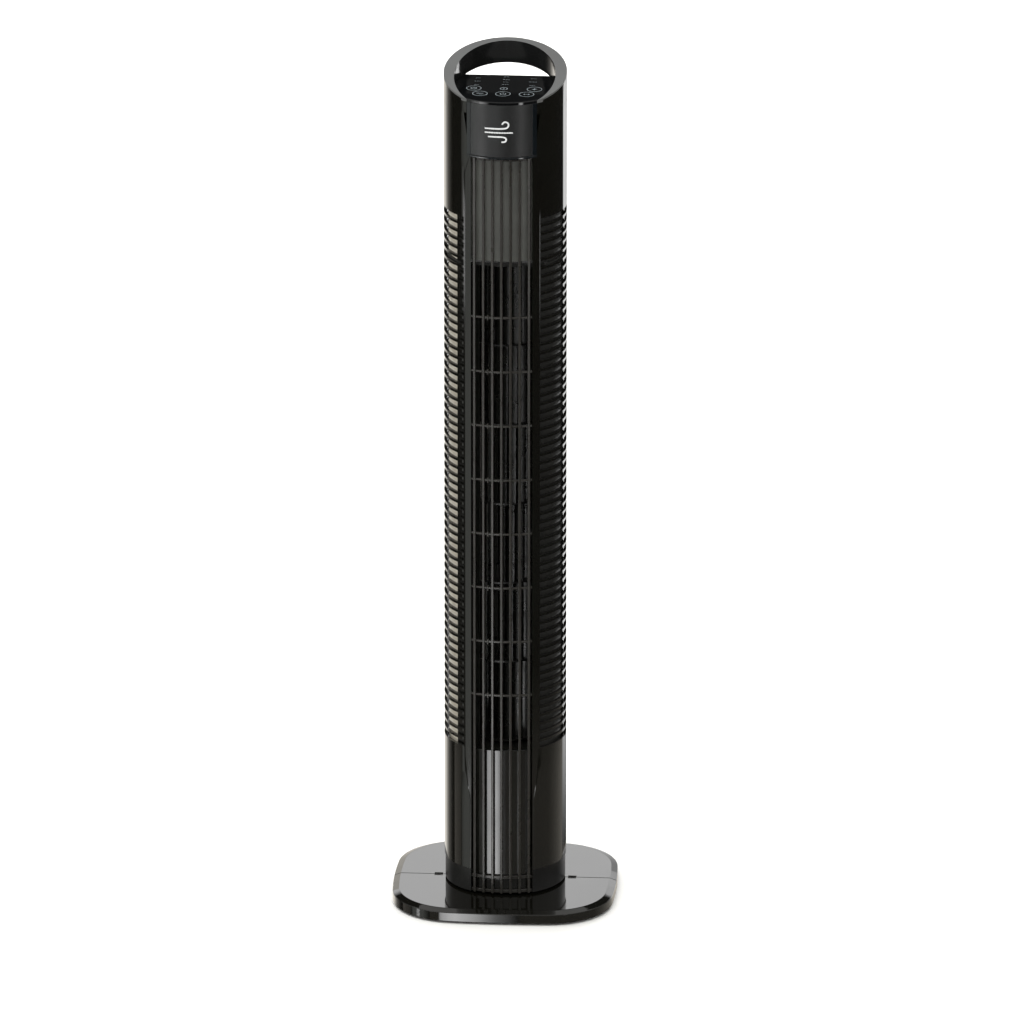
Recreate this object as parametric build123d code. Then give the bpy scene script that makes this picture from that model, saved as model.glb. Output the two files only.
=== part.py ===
from build123d import *
import os
from math import atan2, cos, degrees, hypot, pi, radians, sin, sqrt

# Tower fan: a round column that sweeps on a low rounded-square base.
# Frame: millimetres, +Z up, origin on the floor on the column's axis, front towards -Y.
# Azimuths are counted from the front: 0 is -Y, positive towards +X.

# ---------------------------------------------------------------- overall sizes
OVERALL_HEIGHT = 785.0
COLUMN_RADIUS = 54.5
COLUMN_WALL = 2.4
BASE_WIDTH = 200.0
BASE_DEPTH = 186.0

# ---------------------------------------------------------------- clearances
JOINT_GAP = 0.3            # seam between two mouldings of one body
SEAT_GAP = 0.05            # snug pieces of one body
RUNNING_GAP = 0.05         # radial clearance of a shaft in its bearing
SWEEP_GAP = 2.0            # open space between the base and the turning column
INSERT_GAP = 0.2           # plates that drop into the shells

# ---------------------------------------------------------------- base
FOOT_HEIGHT = 2.0          # what the rubber stands proud of the base shell
FOOT_RADIUS = 9.0
FOOT_RECESS = 1.5
FOOT_X = 70.0
FOOT_Y = 62.0
BASE_SHELL_HEIGHT = 10.5
BASE_SKIN = 2.5
BASE_SIDE_BOW = 7.0        # how far each side bulges beyond its corners
BASE_CORNER_RADIUS = 58.0
BASE_BEVEL_RUN = 6.0
BASE_BEVEL_DROP = 2.2
BRACE_LENGTH = 150.0
BRACE_WIDTH = 66.0
BRACE_THICKNESS = 2.0
BRACE_CORNER = 12.0
BOSS_RADIUS = 4.5
CLIP_MARGIN = 5.5          # from the column's side to the middle of a clip
CLIP_WIDTH = 7.0
CLIP_REACH = 3.2
BASE_RIB = 1.8
BASE_SCREW_REACH = 4.0
BASE_SCREW_HEAD = 1.6
CLIP_SINK = 0.8

# ---------------------------------------------------------------- swivel and its gears
SPINDLE_RADIUS = 13.0
SPINDLE_BORE = 9.0
PEDESTAL_RADIUS = 29.6
PEDESTAL_CLEARANCE = 0.4
SLIP_RING_WIDTH = 11.0
TURNTABLE_THICKNESS = 3.0
TURNTABLE_SLEEVE_WALL = 4.0
TURNTABLE_SLEEVE_HEIGHT = 6.0
GEAR_MODULE = 1.25
FIXED_TEETH = 36
PINION_TEETH = 12
PRESSURE_ANGLE = 25.0
ADDENDUM = 0.85
DEDENDUM = 1.15
FLANK_RELIEF = 0.12        # taken off each flank, which is the backlash
GEAR_WIDTH = 6.0
GEAR_LIFT = 1.0
KEY_DEPTH = 1.6
KEY_WIDTH = 4.0
NUT_HEIGHT = 7.0
NUT_WALL = 5.5
NUT_NOTCHES = 8
SWEEP_MOTOR_RADIUS = 19.0
SWEEP_MOTOR_HEIGHT = 15.0
SWEEP_POST_X = 26.0
SWEEP_SHAFT_RADIUS = 2.5
MOTOR_EAR = 1.0            # thickness of the sweep motor's ears
BRACKET_THICKNESS = 1.5

# ---------------------------------------------------------------- column shells
COLLAR_HEIGHT = 21.5
COLLAR_STEP = 0.8          # the collar stands this far inside the shells
COLLAR_WALL = 3.0
COLLAR_SCREW_INSET = 8.0   # from the column's side
COLLAR_SCREW_AZIMUTHS = (55.0, 110.0, 250.0, 305.0)
COLLAR_BOSS_RADIUS = 5.2
COLLAR_BOSS_HEIGHT = 8.0
HEAD_HEIGHT = 39.0         # the head's height over the shells
SHELL_SPLIT = 95.0         # azimuth of the seam between front and rear shell
WINDOW_HALF = 27.5
RETURN_WALL = 2.2
WINDOW_DEPTH = 18.5        # how deep the window's side walls run
CROSSBAR_DEPTH = 3.3
VENT_LIFT = 0.4            # lowest vent over the impeller's foot
VENT_HEADROOM = 96.0       # plain shell over the vents
VENT_PITCH = 7.93
VENT_BAR = 2.3
VENT_INNER_AZIMUTH = 38.2
VENT_END_AZIMUTH = 91.5
REAR_VENT_START = 99.0
REAR_VENT_END = 178.0
REAR_VENT_GROUPS = 2
REAR_MULLION = 2.0
GROOVE_WIDTH = 0.9
GROOVE_DEPTH = 0.7
SHIELD_TIP_DROP = 47.3     # the smooth strip's tip below the vents
SHIELD_HEAD_DROP = 16.0    # where the strip starts to close below the grille's top
SCREW_INSET = 10.5         # from the column's side
SCREW_SHANK = 1.6
SCREW_HEAD = 3.3
SCREW_HEAD_HEIGHT = 2.0
SHELL_BOSS_SPLIT_Y = 2.0
SHELL_SCREW_SEAT = 8.0
SHELL_SCREW_DEPTH = 12.0
SHELL_SCREW_LIFT = 25.7    # lowest pair over the shells' foot
SHELL_SCREW_BELOW_VENTS = 19.3
SHELL_SCREW_DROPS = (78.0, 20.0)
LINER_INSET = 1.9          # from the shells' inner face to a liner
LINER_WALL = 1.5
LINER_MARGIN = 0.4         # azimuth by which a liner starts beyond the vents' inner ends
LINER_END_AZIMUTH = 97.0
LINER_RISE = 3.0           # how far a liner reaches over the vents
LINER_LIP = 3.0            # azimuth that the right liner's sealing lip takes

# ---------------------------------------------------------------- outlet grille
FACE_RADIUS = 80.0         # the grille's face is flatter than the column
RIB_COUNT = 7
RIB_PITCH = 8.1
RIB_WIDTH = 2.2
RIB_DEPTH = 4.0
FOOT_PIECE_HEIGHT = 12.9   # the short lower piece of the grille
RING_LIFT = 52.8           # lowest ring over the impeller's foot
RING_PITCH = 50.73
RING_HEIGHT = 2.0
RING_SET_BACK = 1.0
RING_DEPTH = 2.0
NUB_WIDTH = 1.6
NUB_HEIGHT = 5.0
PLATE_SET_BACK = 5.0
PLATE_THICKNESS = 2.0
LOWER_PLATE_DROP = 0.6     # below the impeller's foot
UPPER_PLATE_LIFT = 10.9    # above the impeller's top
RAIL_HEIGHT = 3.0
RAIL_SET_BACK = 2.4
RAIL_DEPTH = 2.4

# ---------------------------------------------------------------- head
RIM_DROP = 25.8            # the rim's front below its rear
RIM_MARGIN = 1.566         # from the display's edge to where the rim meets the panel
WELL_SIDE_WALL = 9.7       # from the column's side to the well
WELL_REAR_WALL = 5.5       # from the column's rear to the well
TRIM_THICKNESS = 1.6
PANEL_THICKNESS = 2.8
HANDLE_DEPTH = 29.3        # from the column's rear to the panel's back edge
PANEL_FLOOR = 2.6
HANDLE_WALL = 2.0
HANDLE_SINK = 3.5          # the recess's floor below the head's parting
HANDLE_FLOOR = 2.5
BAR_DROP = 21.8            # the bar's underside below the rim's rear
BAR_SLOPE = 0.17
HANDLE_SIDE_WALL = 17.0    # from the column's side to the finger gap
SPIGOT_DEPTH = 6.0
SPIGOT_WALL = 2.0
DISPLAY_HEIGHT = 50.8
BEZEL_FOOT = 2.4           # from the display down to the grille
DISPLAY_HALF_WIDTH = 27.2
BEZEL_HALF_WIDTH = 31.0
DISPLAY_THICKNESS = 2.4
BEZEL_LIP = 1.8
BOARD_THICKNESS = 1.6
BOARD_WIDTH = 46.0
BOARD_LIFT = 18.8          # above the upper plate's foot
BOARD_DROP = 6.0           # below the grille's top
BOARD_SET_BACK = 3.0       # behind the window's side walls
TOUCH_BOARD_DROP = 1.2
TRANSFORMER_SIZE = (30.0, 26.0, 28.0)

# ---------------------------------------------------------------- impeller and duct
IMPELLER_RADIUS = 32.0
IMPELLER_Y = 8.0
IMPELLER_LIFT = 32.9       # above the motor
IMPELLER_HEADROOM = 147.7  # from the impeller's top to the head
SEGMENTS = 6
BLADES = 24
BLADE_THICKNESS = 1.1
BLADE_CHORD = 8.0
BLADE_SWEEP = 13.0
BLADE_INSET = 0.4          # blade tips within the discs' edge
SEGMENT_DISC = 1.6
SEGMENT_TWIST = 2.5
HUB_RADIUS = 10.0
HUB_HEIGHT = 16.0
SHAFT_RADIUS = 4.0
AXLE_RADIUS = 3.0
AXLE_HUB_RADIUS = 8.0
AXLE_HUB_HEIGHT = 8.0
SCROLL_GAP = 6.0
SCROLL_OFFSET = 2.0
SCROLL_START = -14.0
SCROLL_END = 105.0
OUTLET_MARGIN = 1.53       # from the window's edge to the foot of the scroll's straight run
DUCT_WALL = 2.0
TONGUE_GAP = 2.5
TONGUE_AZIMUTH = -39.0
DUCT_FLOOR_THICKNESS = 3.0
DUCT_END_GAP = 3.5
BUSH_WALL = 3.0
BUSH_HEIGHT = 8.0
SEAT_FLOOR = 1.0           # floor under the upper bush and its cushion
CUSHION_WALL = 4.5

# ---------------------------------------------------------------- fan motor
MOTOR_RADIUS = 37.0
STATOR_HEIGHT = 32.0
ROTOR_RADIUS = 19.0
AIR_GAP = 0.4
BELL_HEIGHT = 14.0
BELL_WALL = 2.0
MOTOR_LIFT = 4.95          # above the sweep motor
MOTOR_BUSH_HEIGHT = 9.0
BEARING_BOSS = 10.0
STATOR_SLOTS = 12
WINDING_HEIGHT = 6.0
MOTOR_PLATE_THICKNESS = 2.0
STANDOFF_RADIUS = 4.0
MOTOR_SCREW_CIRCLE = 33.0
CAPACITOR_SIZE = (32.0, 7.5, 24.0)
TAB_WIDTH = 3.0
TAB_THICKNESS = 0.8
TAB_HEIGHT = 6.0
GLAND_RADIUS = 6.0
GLAND_BORE = 3.6
GLAND_HEIGHT_ABOVE_COLUMN = 10.5

# ---------------------------------------------------------------- worked-out levels
BASE_TOP = FOOT_HEIGHT + BASE_SHELL_HEIGHT
BASE_UNDERSKIN = BASE_TOP - BASE_SKIN
BRACE_BOTTOM = FOOT_HEIGHT + 2.6
BRACE_TOP = BRACE_BOTTOM + BRACE_THICKNESS
COLUMN_BOTTOM = BASE_TOP + SWEEP_GAP
COLLAR_TOP = COLUMN_BOTTOM + COLLAR_HEIGHT
TURNTABLE_TOP = COLUMN_BOTTOM + TURNTABLE_THICKNESS
SLEEVE_TOP = COLUMN_BOTTOM + TURNTABLE_SLEEVE_HEIGHT
GEAR_BOTTOM = SLEEVE_TOP + GEAR_LIFT
GEAR_TOP = GEAR_BOTTOM + GEAR_WIDTH
NUT_BOTTOM = GEAR_TOP + SEAT_GAP
NUT_TOP = NUT_BOTTOM + NUT_HEIGHT
BRACKET_BOTTOM = NUT_TOP + 1.0
BRACKET_TOP = BRACKET_BOTTOM + BRACKET_THICKNESS
SWEEP_MOTOR_TOP = BRACKET_TOP + SWEEP_MOTOR_HEIGHT
PINION_Y = GEAR_MODULE * (FIXED_TEETH + PINION_TEETH) / 2

HEAD_PARTING = OVERALL_HEIGHT - HEAD_HEIGHT
MOTOR_BOTTOM = SWEEP_MOTOR_TOP + MOTOR_LIFT
MOTOR_STATOR_BOTTOM = MOTOR_BOTTOM + BELL_HEIGHT
MOTOR_STATOR_TOP = MOTOR_STATOR_BOTTOM + STATOR_HEIGHT
MOTOR_TOP = MOTOR_STATOR_TOP + BELL_HEIGHT
IMPELLER_BOTTOM = MOTOR_TOP + IMPELLER_LIFT
IMPELLER_TOP = HEAD_PARTING - IMPELLER_HEADROOM
PANEL_TOP = OVERALL_HEIGHT - RIM_DROP
DISPLAY_BOTTOM = PANEL_TOP - DISPLAY_HEIGHT
GRILLE_TOP = DISPLAY_BOTTOM - BEZEL_FOOT
LOWER_PLATE_TOP = IMPELLER_BOTTOM - LOWER_PLATE_DROP
UPPER_PLATE_BOTTOM = IMPELLER_TOP + UPPER_PLATE_LIFT
FOOT_PARTING = COLUMN_BOTTOM + FOOT_PIECE_HEIGHT
RING_FIRST = IMPELLER_BOTTOM + RING_LIFT
RING_COUNT = int((IMPELLER_TOP - IMPELLER_BOTTOM) / RING_PITCH)

CLIP_X = COLUMN_RADIUS + CLIP_MARGIN
COLLAR_SCREW_RADIUS = COLUMN_RADIUS - COLLAR_SCREW_INSET
RETURN_BACK = WINDOW_DEPTH - COLUMN_RADIUS
SCREW_X = COLUMN_RADIUS - SCREW_INSET
SHELL_INSIDE = COLUMN_RADIUS - COLUMN_WALL
COLLAR_RADIUS = COLUMN_RADIUS - COLLAR_STEP
SHELL_BOTTOM = COLLAR_TOP + JOINT_GAP
SHELL_TOP = HEAD_PARTING
VENT_SLOT = VENT_PITCH - VENT_BAR
VENT_BOTTOM = IMPELLER_BOTTOM + VENT_LIFT
VENT_COUNT = int((HEAD_PARTING - VENT_HEADROOM - VENT_BOTTOM) / VENT_PITCH)
VENT_TOP = VENT_BOTTOM + VENT_COUNT * VENT_PITCH
SHIELD_TIP = VENT_BOTTOM - SHIELD_TIP_DROP
SHIELD_HEAD = GRILLE_TOP - SHIELD_HEAD_DROP
SHELL_SCREW_LEVELS = [SHELL_BOTTOM + SHELL_SCREW_LIFT, VENT_BOTTOM - SHELL_SCREW_BELOW_VENTS]
SHELL_SCREW_LEVELS += [SHELL_TOP - drop for drop in SHELL_SCREW_DROPS]
FACE_CENTRE_Y = sqrt(FACE_RADIUS**2 - WINDOW_HALF**2) - sqrt(COLUMN_RADIUS**2 - WINDOW_HALF**2)
PLATE_FACE = FACE_RADIUS - PLATE_SET_BACK
PLATE_BACK = PLATE_FACE - PLATE_THICKNESS
CROSSBAR_FRONT = RETURN_BACK - CROSSBAR_DEPTH
GRILLE_HALF = WINDOW_HALF - INSERT_GAP
LINER_RADIUS = SHELL_INSIDE - LINER_INSET

DUCT_FLOOR_TOP = IMPELLER_BOTTOM - DUCT_END_GAP
DUCT_FLOOR_BOTTOM = DUCT_FLOOR_TOP - DUCT_FLOOR_THICKNESS
DUCT_CEILING_BOTTOM = IMPELLER_TOP + DUCT_END_GAP
DUCT_CEILING_TOP = DUCT_CEILING_BOTTOM + DUCT_FLOOR_THICKNESS
SEGMENT_HEIGHT = (IMPELLER_TOP - IMPELLER_BOTTOM - SEGMENT_DISC) / SEGMENTS

CROSSBAR_LEVELS = (
    (SHELL_BOTTOM, SHELL_BOTTOM + 8),
    (DUCT_FLOOR_BOTTOM - 12, DUCT_FLOOR_BOTTOM),
    (DUCT_CEILING_TOP + 1, DUCT_CEILING_TOP + 13),
    (SHELL_TOP - SPIGOT_DEPTH - 12, SHELL_TOP - SPIGOT_DEPTH - 2),
)

PANEL_BOTTOM = PANEL_TOP - PANEL_THICKNESS
PANEL_FLOOR_BOTTOM = PANEL_BOTTOM - PANEL_FLOOR
PANEL_BACK_Y = COLUMN_RADIUS - HANDLE_DEPTH
RIM_FRONT_Y = -sqrt(COLUMN_RADIUS**2 - (BEZEL_HALF_WIDTH + RIM_MARGIN)**2)
RIM_SLOPE = RIM_DROP / (COLUMN_RADIUS - RIM_FRONT_Y)
WELL_HALF_WIDTH = COLUMN_RADIUS - WELL_SIDE_WALL
WELL_HALF_DEPTH = COLUMN_RADIUS
WELL_CENTRE_Y = -WELL_REAR_WALL
HANDLE_FLOOR_TOP = HEAD_PARTING - HANDLE_SINK
HANDLE_HALF_WIDTH = COLUMN_RADIUS - HANDLE_SIDE_WALL
BAR_LOWER_REAR = OVERALL_HEIGHT - BAR_DROP
BOARD_BOTTOM = UPPER_PLATE_BOTTOM + BOARD_LIFT
BOARD_TOP = GRILLE_TOP - BOARD_DROP
BOARD_Y = RETURN_BACK + BOARD_SET_BACK

BOTTOM = (Align.CENTER, Align.CENTER, Align.MIN)
FAR = 2 * BASE_WIDTH


# ---------------------------------------------------------------- shape helpers
def disc(radius, z0, z1, x=0.0, y=0.0):
    """Upright cylinder from z0 to z1."""
    return Pos(x, y, z0) * Cylinder(radius, z1 - z0, align=BOTTOM)


def tube(outer, inner, z0, z1, x=0.0, y=0.0):
    """Upright pipe from z0 to z1."""
    return disc(outer, z0, z1, x, y) - disc(inner, z0 - 1, z1 + 1, x, y)


def block(x0, x1, y0, y1, z0, z1):
    """Box between two corners."""
    return Pos((x0 + x1) / 2, (y0 + y1) / 2, (z0 + z1) / 2) * Box(x1 - x0, y1 - y0, z1 - z0)


def prism(points, z0, z1):
    """Polygon in plan, stood up from z0 to z1."""
    return Pos(0, 0, z0) * extrude(make_face(Polyline(*points, close=True)), z1 - z0)


def rod_y(radius, x, z, y0, y1):
    """Cylinder along Y."""
    return Pos(x, (y0 + y1) / 2, z) * Rot(90, 0, 0) * Cylinder(radius, y1 - y0)


def around(radius, azimuth, y=0.0):
    """Point in plan at an azimuth counted from the front."""
    return (radius * sin(radians(azimuth)), y - radius * cos(radians(azimuth)))


def wedge(start, end, z0, z1, reach=FAR):
    """Everything between two azimuths."""
    steps = max(2, int((end - start) / 20) + 1)
    rim = [around(reach, start + (end - start) * i / steps) for i in range(steps + 1)]
    return prism([(0.0, 0.0)] + rim, z0, z1)


def arc_wall(outer, inner, start, end, z0, z1, y=0.0, x=0.0):
    """Piece of a pipe between two azimuths, about a centre in plan."""
    middle = (start + end) / 2
    o = [around(outer, a) for a in (start, middle, end)]
    i = [around(inner, a) for a in (start, middle, end)]
    face = make_face([ThreePointArc(*o), Line(o[2], i[2]), ThreePointArc(i[2], i[1], i[0]), Line(i[0], o[0])])
    return Pos(x, y, z0) * extrude(face, z1 - z0)


def joined(pieces):
    """Fuses a list of solids."""
    whole = pieces[0]
    for piece in pieces[1:]:
        whole += piece
    return whole


def group(pieces):
    """Separate solids kept as one node."""
    return Compound(children=[p.solid() for p in pieces])


def face_y(x, radius=FACE_RADIUS):
    """Where the grille's face, or a surface parallel to it, lies at x."""
    return FACE_CENTRE_Y - sqrt(radius**2 - x**2)


def face_slab(outer, inner, x0, x1, z0, z1):
    """Slab parallel to the grille's face between two radii and two widths."""
    ring = disc(outer, z0, z1, 0, FACE_CENTRE_Y) - disc(inner, z0 - 1, z1 + 1, 0, FACE_CENTRE_Y)
    return ring & block(x0, x1, FACE_CENTRE_Y - FAR, FACE_CENTRE_Y - FACE_RADIUS / 2, z0, z1)


def rim_height(y):
    """Height of the handle ring's slanting face at y."""
    return OVERALL_HEIGHT - RIM_SLOPE * (COLUMN_RADIUS - y)


def below_rim(drop=0.0):
    """Everything under the slanting face, lowered by drop."""
    outline = [(-FAR, 0.0), (FAR, 0.0), (FAR, rim_height(FAR) - drop), (-FAR, rim_height(-FAR) - drop)]
    face = make_face(Plane.YZ * Polyline(*outline, close=True))
    return extrude(face, FAR / 2, both=True)


def well(z0, z1, grow=0.0):
    """Oval well inside the handle ring, grown by a wall."""
    oval = Ellipse(WELL_HALF_WIDTH + grow, WELL_HALF_DEPTH + grow)
    return Pos(0, WELL_CENTRE_Y, z0) * extrude(oval, z1 - z0)


def screw(shank, head, head_height, length):
    """Pan-head screw along +Z: the head's top at 0, the shank above it."""
    top = Cylinder(head, head_height, align=BOTTOM)
    top = fillet(top.edges().sort_by(Axis.Z)[0], head_height * 0.4)
    cross = Box(head * 1.1, head * 0.25, head_height) + Box(head * 0.25, head * 1.1, head_height)
    return top + Pos(0, 0, head_height) * Cylinder(shank, length, align=BOTTOM) - cross


# ---------------------------------------------------------------- base
def base_outline(inset=0.0):
    """Rounded square whose four sides bulge."""
    half_w = BASE_WIDTH / 2 - inset
    half_d = BASE_DEPTH / 2 - inset
    cx = half_w - BASE_SIDE_BOW
    cy = half_d - BASE_SIDE_BOW
    sides = [
        ThreePointArc((-cx, -cy), (0, -half_d), (cx, -cy)),
        ThreePointArc((cx, -cy), (half_w, 0), (cx, cy)),
        ThreePointArc((cx, cy), (0, half_d), (-cx, cy)),
        ThreePointArc((-cx, cy), (-half_w, 0), (-cx, -cy)),
    ]
    face = make_face(sides)
    return fillet(face.vertices(), BASE_CORNER_RADIUS - inset)


def brace_screw_places():
    """Where the brace is screwed to the two halves."""
    x = BRACE_LENGTH / 2 - BRACE_CORNER
    y = BRACE_WIDTH / 2 - BRACE_CORNER * 0.75
    return [(sx * x, sy * y) for sx in (-1, 1) for sy in (-1, 1)]


def pedestal_screw_places():
    """Where the brace is screwed to the pedestal."""
    r = (PEDESTAL_RADIUS + SPINDLE_RADIUS) / 2
    return [around(r, a) for a in (0, 90, 180, 270)]


def base_shell():
    """Both halves in one, before they are parted."""
    shell = Pos(0, 0, FOOT_HEIGHT) * extrude(base_outline(), BASE_SHELL_HEIGHT)
    lid = shell.faces().sort_by(Axis.Z)[-1]
    shell = chamfer(lid.edges(), BASE_BEVEL_RUN, BASE_BEVEL_DROP, reference=lid)
    shell -= Pos(0, 0, FOOT_HEIGHT - 1) * extrude(base_outline(BASE_SKIN), BASE_SHELL_HEIGHT + 1 - BASE_SKIN)
    for x in (-FOOT_X, FOOT_X):
        for y in (-FOOT_Y, FOOT_Y):
            shell += disc(FOOT_RADIUS + BASE_SKIN, FOOT_HEIGHT, BASE_UNDERSKIN + 0.1, x, y)
            shell -= disc(FOOT_RADIUS + SEAT_GAP, FOOT_HEIGHT - 1, FOOT_HEIGHT + FOOT_RECESS, x, y)
    for x, y in brace_screw_places():
        shell += disc(BOSS_RADIUS, BRACE_TOP, BASE_UNDERSKIN + 0.1, x, y)
        shell -= disc(SCREW_SHANK + SEAT_GAP, BRACE_TOP - 1, BRACE_TOP + BASE_SCREW_REACH, x, y)
    shell -= disc(PEDESTAL_RADIUS + PEDESTAL_CLEARANCE, 0, BASE_TOP + 1)
    for x in (-CLIP_X, CLIP_X):
        shell -= block(x - CLIP_WIDTH / 2, x + CLIP_WIDTH / 2, -CLIP_REACH, CLIP_REACH,
                       BASE_UNDERSKIN - 1, BASE_TOP + 1)
    return shell


def base_ribs(side):
    """Stiffening ribs under one half."""
    near = side * (BRACE_WIDTH / 2 + 2)
    far = side * (BASE_DEPTH / 2 - BASE_BEVEL_RUN - 2)
    ribs = []
    for x in (-FOOT_X * 0.55, 0.0, FOOT_X * 0.55):
        reach = far if x == 0.0 else far - side * BASE_SIDE_BOW
        ribs.append(block(x - BASE_RIB / 2, x + BASE_RIB / 2, min(near, reach), max(near, reach),
                          BRACE_BOTTOM, BASE_UNDERSKIN + 0.1))
    return ribs


def base_half(side):
    """Front (-1) or rear (+1) half of the base shell."""
    shell = joined([base_shell()] + base_ribs(side))
    seam = JOINT_GAP / 2
    keep = block(-FAR, FAR, seam, FAR, -1, BASE_TOP + 1) if side > 0 else \
        block(-FAR, FAR, -FAR, -seam, -1, BASE_TOP + 1)
    return shell & keep


def base_brace():
    """Steel plate that ties the halves and the pedestal together."""
    plate = extrude(RectangleRounded(BRACE_LENGTH, BRACE_WIDTH, BRACE_CORNER), BRACE_THICKNESS)
    plate = Pos(0, 0, BRACE_BOTTOM) * plate
    plate -= disc(SPINDLE_BORE, BRACE_BOTTOM - 1, BRACE_TOP + 1)
    for x, y in brace_screw_places() + pedestal_screw_places():
        plate -= disc(SCREW_SHANK + 2 * SEAT_GAP, BRACE_BOTTOM - 1, BRACE_TOP + 1, x, y)
    return plate


def base_screws():
    """Screws from below into the halves' bosses and the pedestal."""
    pieces = []
    for x, y in brace_screw_places() + pedestal_screw_places():
        one = screw(SCREW_SHANK, SCREW_HEAD, BASE_SCREW_HEAD, BRACE_THICKNESS + BASE_SCREW_REACH - 0.2)
        pieces.append(Pos(x, y, BRACE_BOTTOM - BASE_SCREW_HEAD) * one)
    return group(pieces)


def rubber_feet():
    """Four feet seated in cups under the base."""
    pieces = []
    for x in (-FOOT_X, FOOT_X):
        for y in (-FOOT_Y, FOOT_Y):
            foot = disc(FOOT_RADIUS, 0, FOOT_HEIGHT + FOOT_RECESS, x, y)
            foot = chamfer(foot.edges().sort_by(Axis.Z)[0], 0.6)
            pieces.append(foot)
    return group(pieces)


def seam_clips():
    """Snap clips across the seam, in the windows beside the column."""
    pieces = []
    for x in (-CLIP_X, CLIP_X):
        half_w = CLIP_WIDTH / 2 - SEAT_GAP * 2
        reach = CLIP_REACH - SEAT_GAP * 2
        clip = block(x - half_w, x + half_w, -reach, reach, BASE_UNDERSKIN, BASE_TOP - CLIP_SINK)
        clip -= block(x - half_w * 0.6, x + half_w * 0.6, -0.5, 0.5, BASE_TOP - CLIP_SINK - 0.8, BASE_TOP)
        pieces.append(clip)
    return group(pieces)


# ---------------------------------------------------------------- swivel
def spindle_keys(grow=0.0):
    """Two keys that stop the fixed gear from turning."""
    reach = SPINDLE_RADIUS + KEY_DEPTH + grow
    half = KEY_WIDTH / 2 + grow
    return [block(-reach, -SPINDLE_RADIUS + KEY_DEPTH, -half, half, GEAR_BOTTOM - grow, GEAR_TOP + grow),
            block(SPINDLE_RADIUS - KEY_DEPTH, reach, -half, half, GEAR_BOTTOM - grow, GEAR_TOP + grow)]


def pedestal():
    """Fixed flange and hollow spindle that the column turns on."""
    body = disc(PEDESTAL_RADIUS, BRACE_TOP, BASE_TOP) + disc(SPINDLE_RADIUS, BRACE_TOP, NUT_TOP + 0.8)
    body -= disc(SPINDLE_BORE, BRACE_TOP - 1, NUT_TOP + 2)
    for x, y in pedestal_screw_places():
        body -= disc(SCREW_SHANK + SEAT_GAP, BRACE_TOP - 1, BRACE_TOP + BASE_SCREW_REACH, x, y)
    return joined([body] + spindle_keys())


def slip_ring():
    """Thrust washer between the pedestal and the turntable."""
    inner = SPINDLE_RADIUS + SEAT_GAP
    return tube(inner + SLIP_RING_WIDTH, inner, BASE_TOP, COLUMN_BOTTOM - RUNNING_GAP)


def gear_tooth(teeth):
    """One involute tooth in plan, on the +X axis."""
    pitch = GEAR_MODULE * teeth / 2
    base = pitch * cos(radians(PRESSURE_ANGLE))
    tip = pitch + ADDENDUM * GEAR_MODULE
    root = pitch - DEDENDUM * GEAR_MODULE

    def involute(radius):
        """Angle by which the flank has turned in at a radius."""
        if radius <= base:
            return 0.0
        roll = sqrt((radius / base) ** 2 - 1)
        return roll - atan2(sqrt(radius**2 - base**2), base)

    half_pitch = pi / (2 * teeth) - FLANK_RELIEF / pitch
    start = max(root, base)
    radii = [start + (tip - start) * i / 5 for i in range(6)]
    flank = [(root - 0.3, half_pitch + involute(pitch))]
    flank += [(r, half_pitch + involute(pitch) - involute(r)) for r in radii]
    left = [(r * cos(a), r * sin(a)) for r, a in flank]
    right = [(x, -y) for x, y in reversed(left)]
    return make_face(Polyline(*left, *right, close=True))


def spur_gear(teeth, z0, z1, turn):
    """Toothed wheel with no bore."""
    root = GEAR_MODULE * teeth / 2 - DEDENDUM * GEAR_MODULE
    sketch = Circle(root)
    for i in range(teeth):
        sketch += Rot(0, 0, turn + 360 * i / teeth) * gear_tooth(teeth)
    return Pos(0, 0, z0) * extrude(sketch, z1 - z0)


def fixed_gear():
    """Gear keyed to the spindle, which the pinion walks round."""
    gear = spur_gear(FIXED_TEETH, GEAR_BOTTOM, GEAR_TOP, 90.0)
    gear -= disc(SPINDLE_RADIUS + SEAT_GAP, GEAR_BOTTOM - 1, GEAR_TOP + 1)
    for key in spindle_keys(SEAT_GAP):
        gear -= key
    return gear


def lock_nut():
    """Castellated nut that keeps the column on its spindle."""
    nut = tube(SPINDLE_RADIUS + NUT_WALL, SPINDLE_RADIUS + SEAT_GAP, NUT_BOTTOM, NUT_TOP)
    notch = Box(NUT_WALL, 3.0, NUT_HEIGHT)
    for i in range(NUT_NOTCHES):
        spot = Rot(0, 0, 360 * i / NUT_NOTCHES) * Pos(SPINDLE_RADIUS + NUT_WALL, 0, NUT_TOP) * notch
        nut -= spot
    return nut


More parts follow.
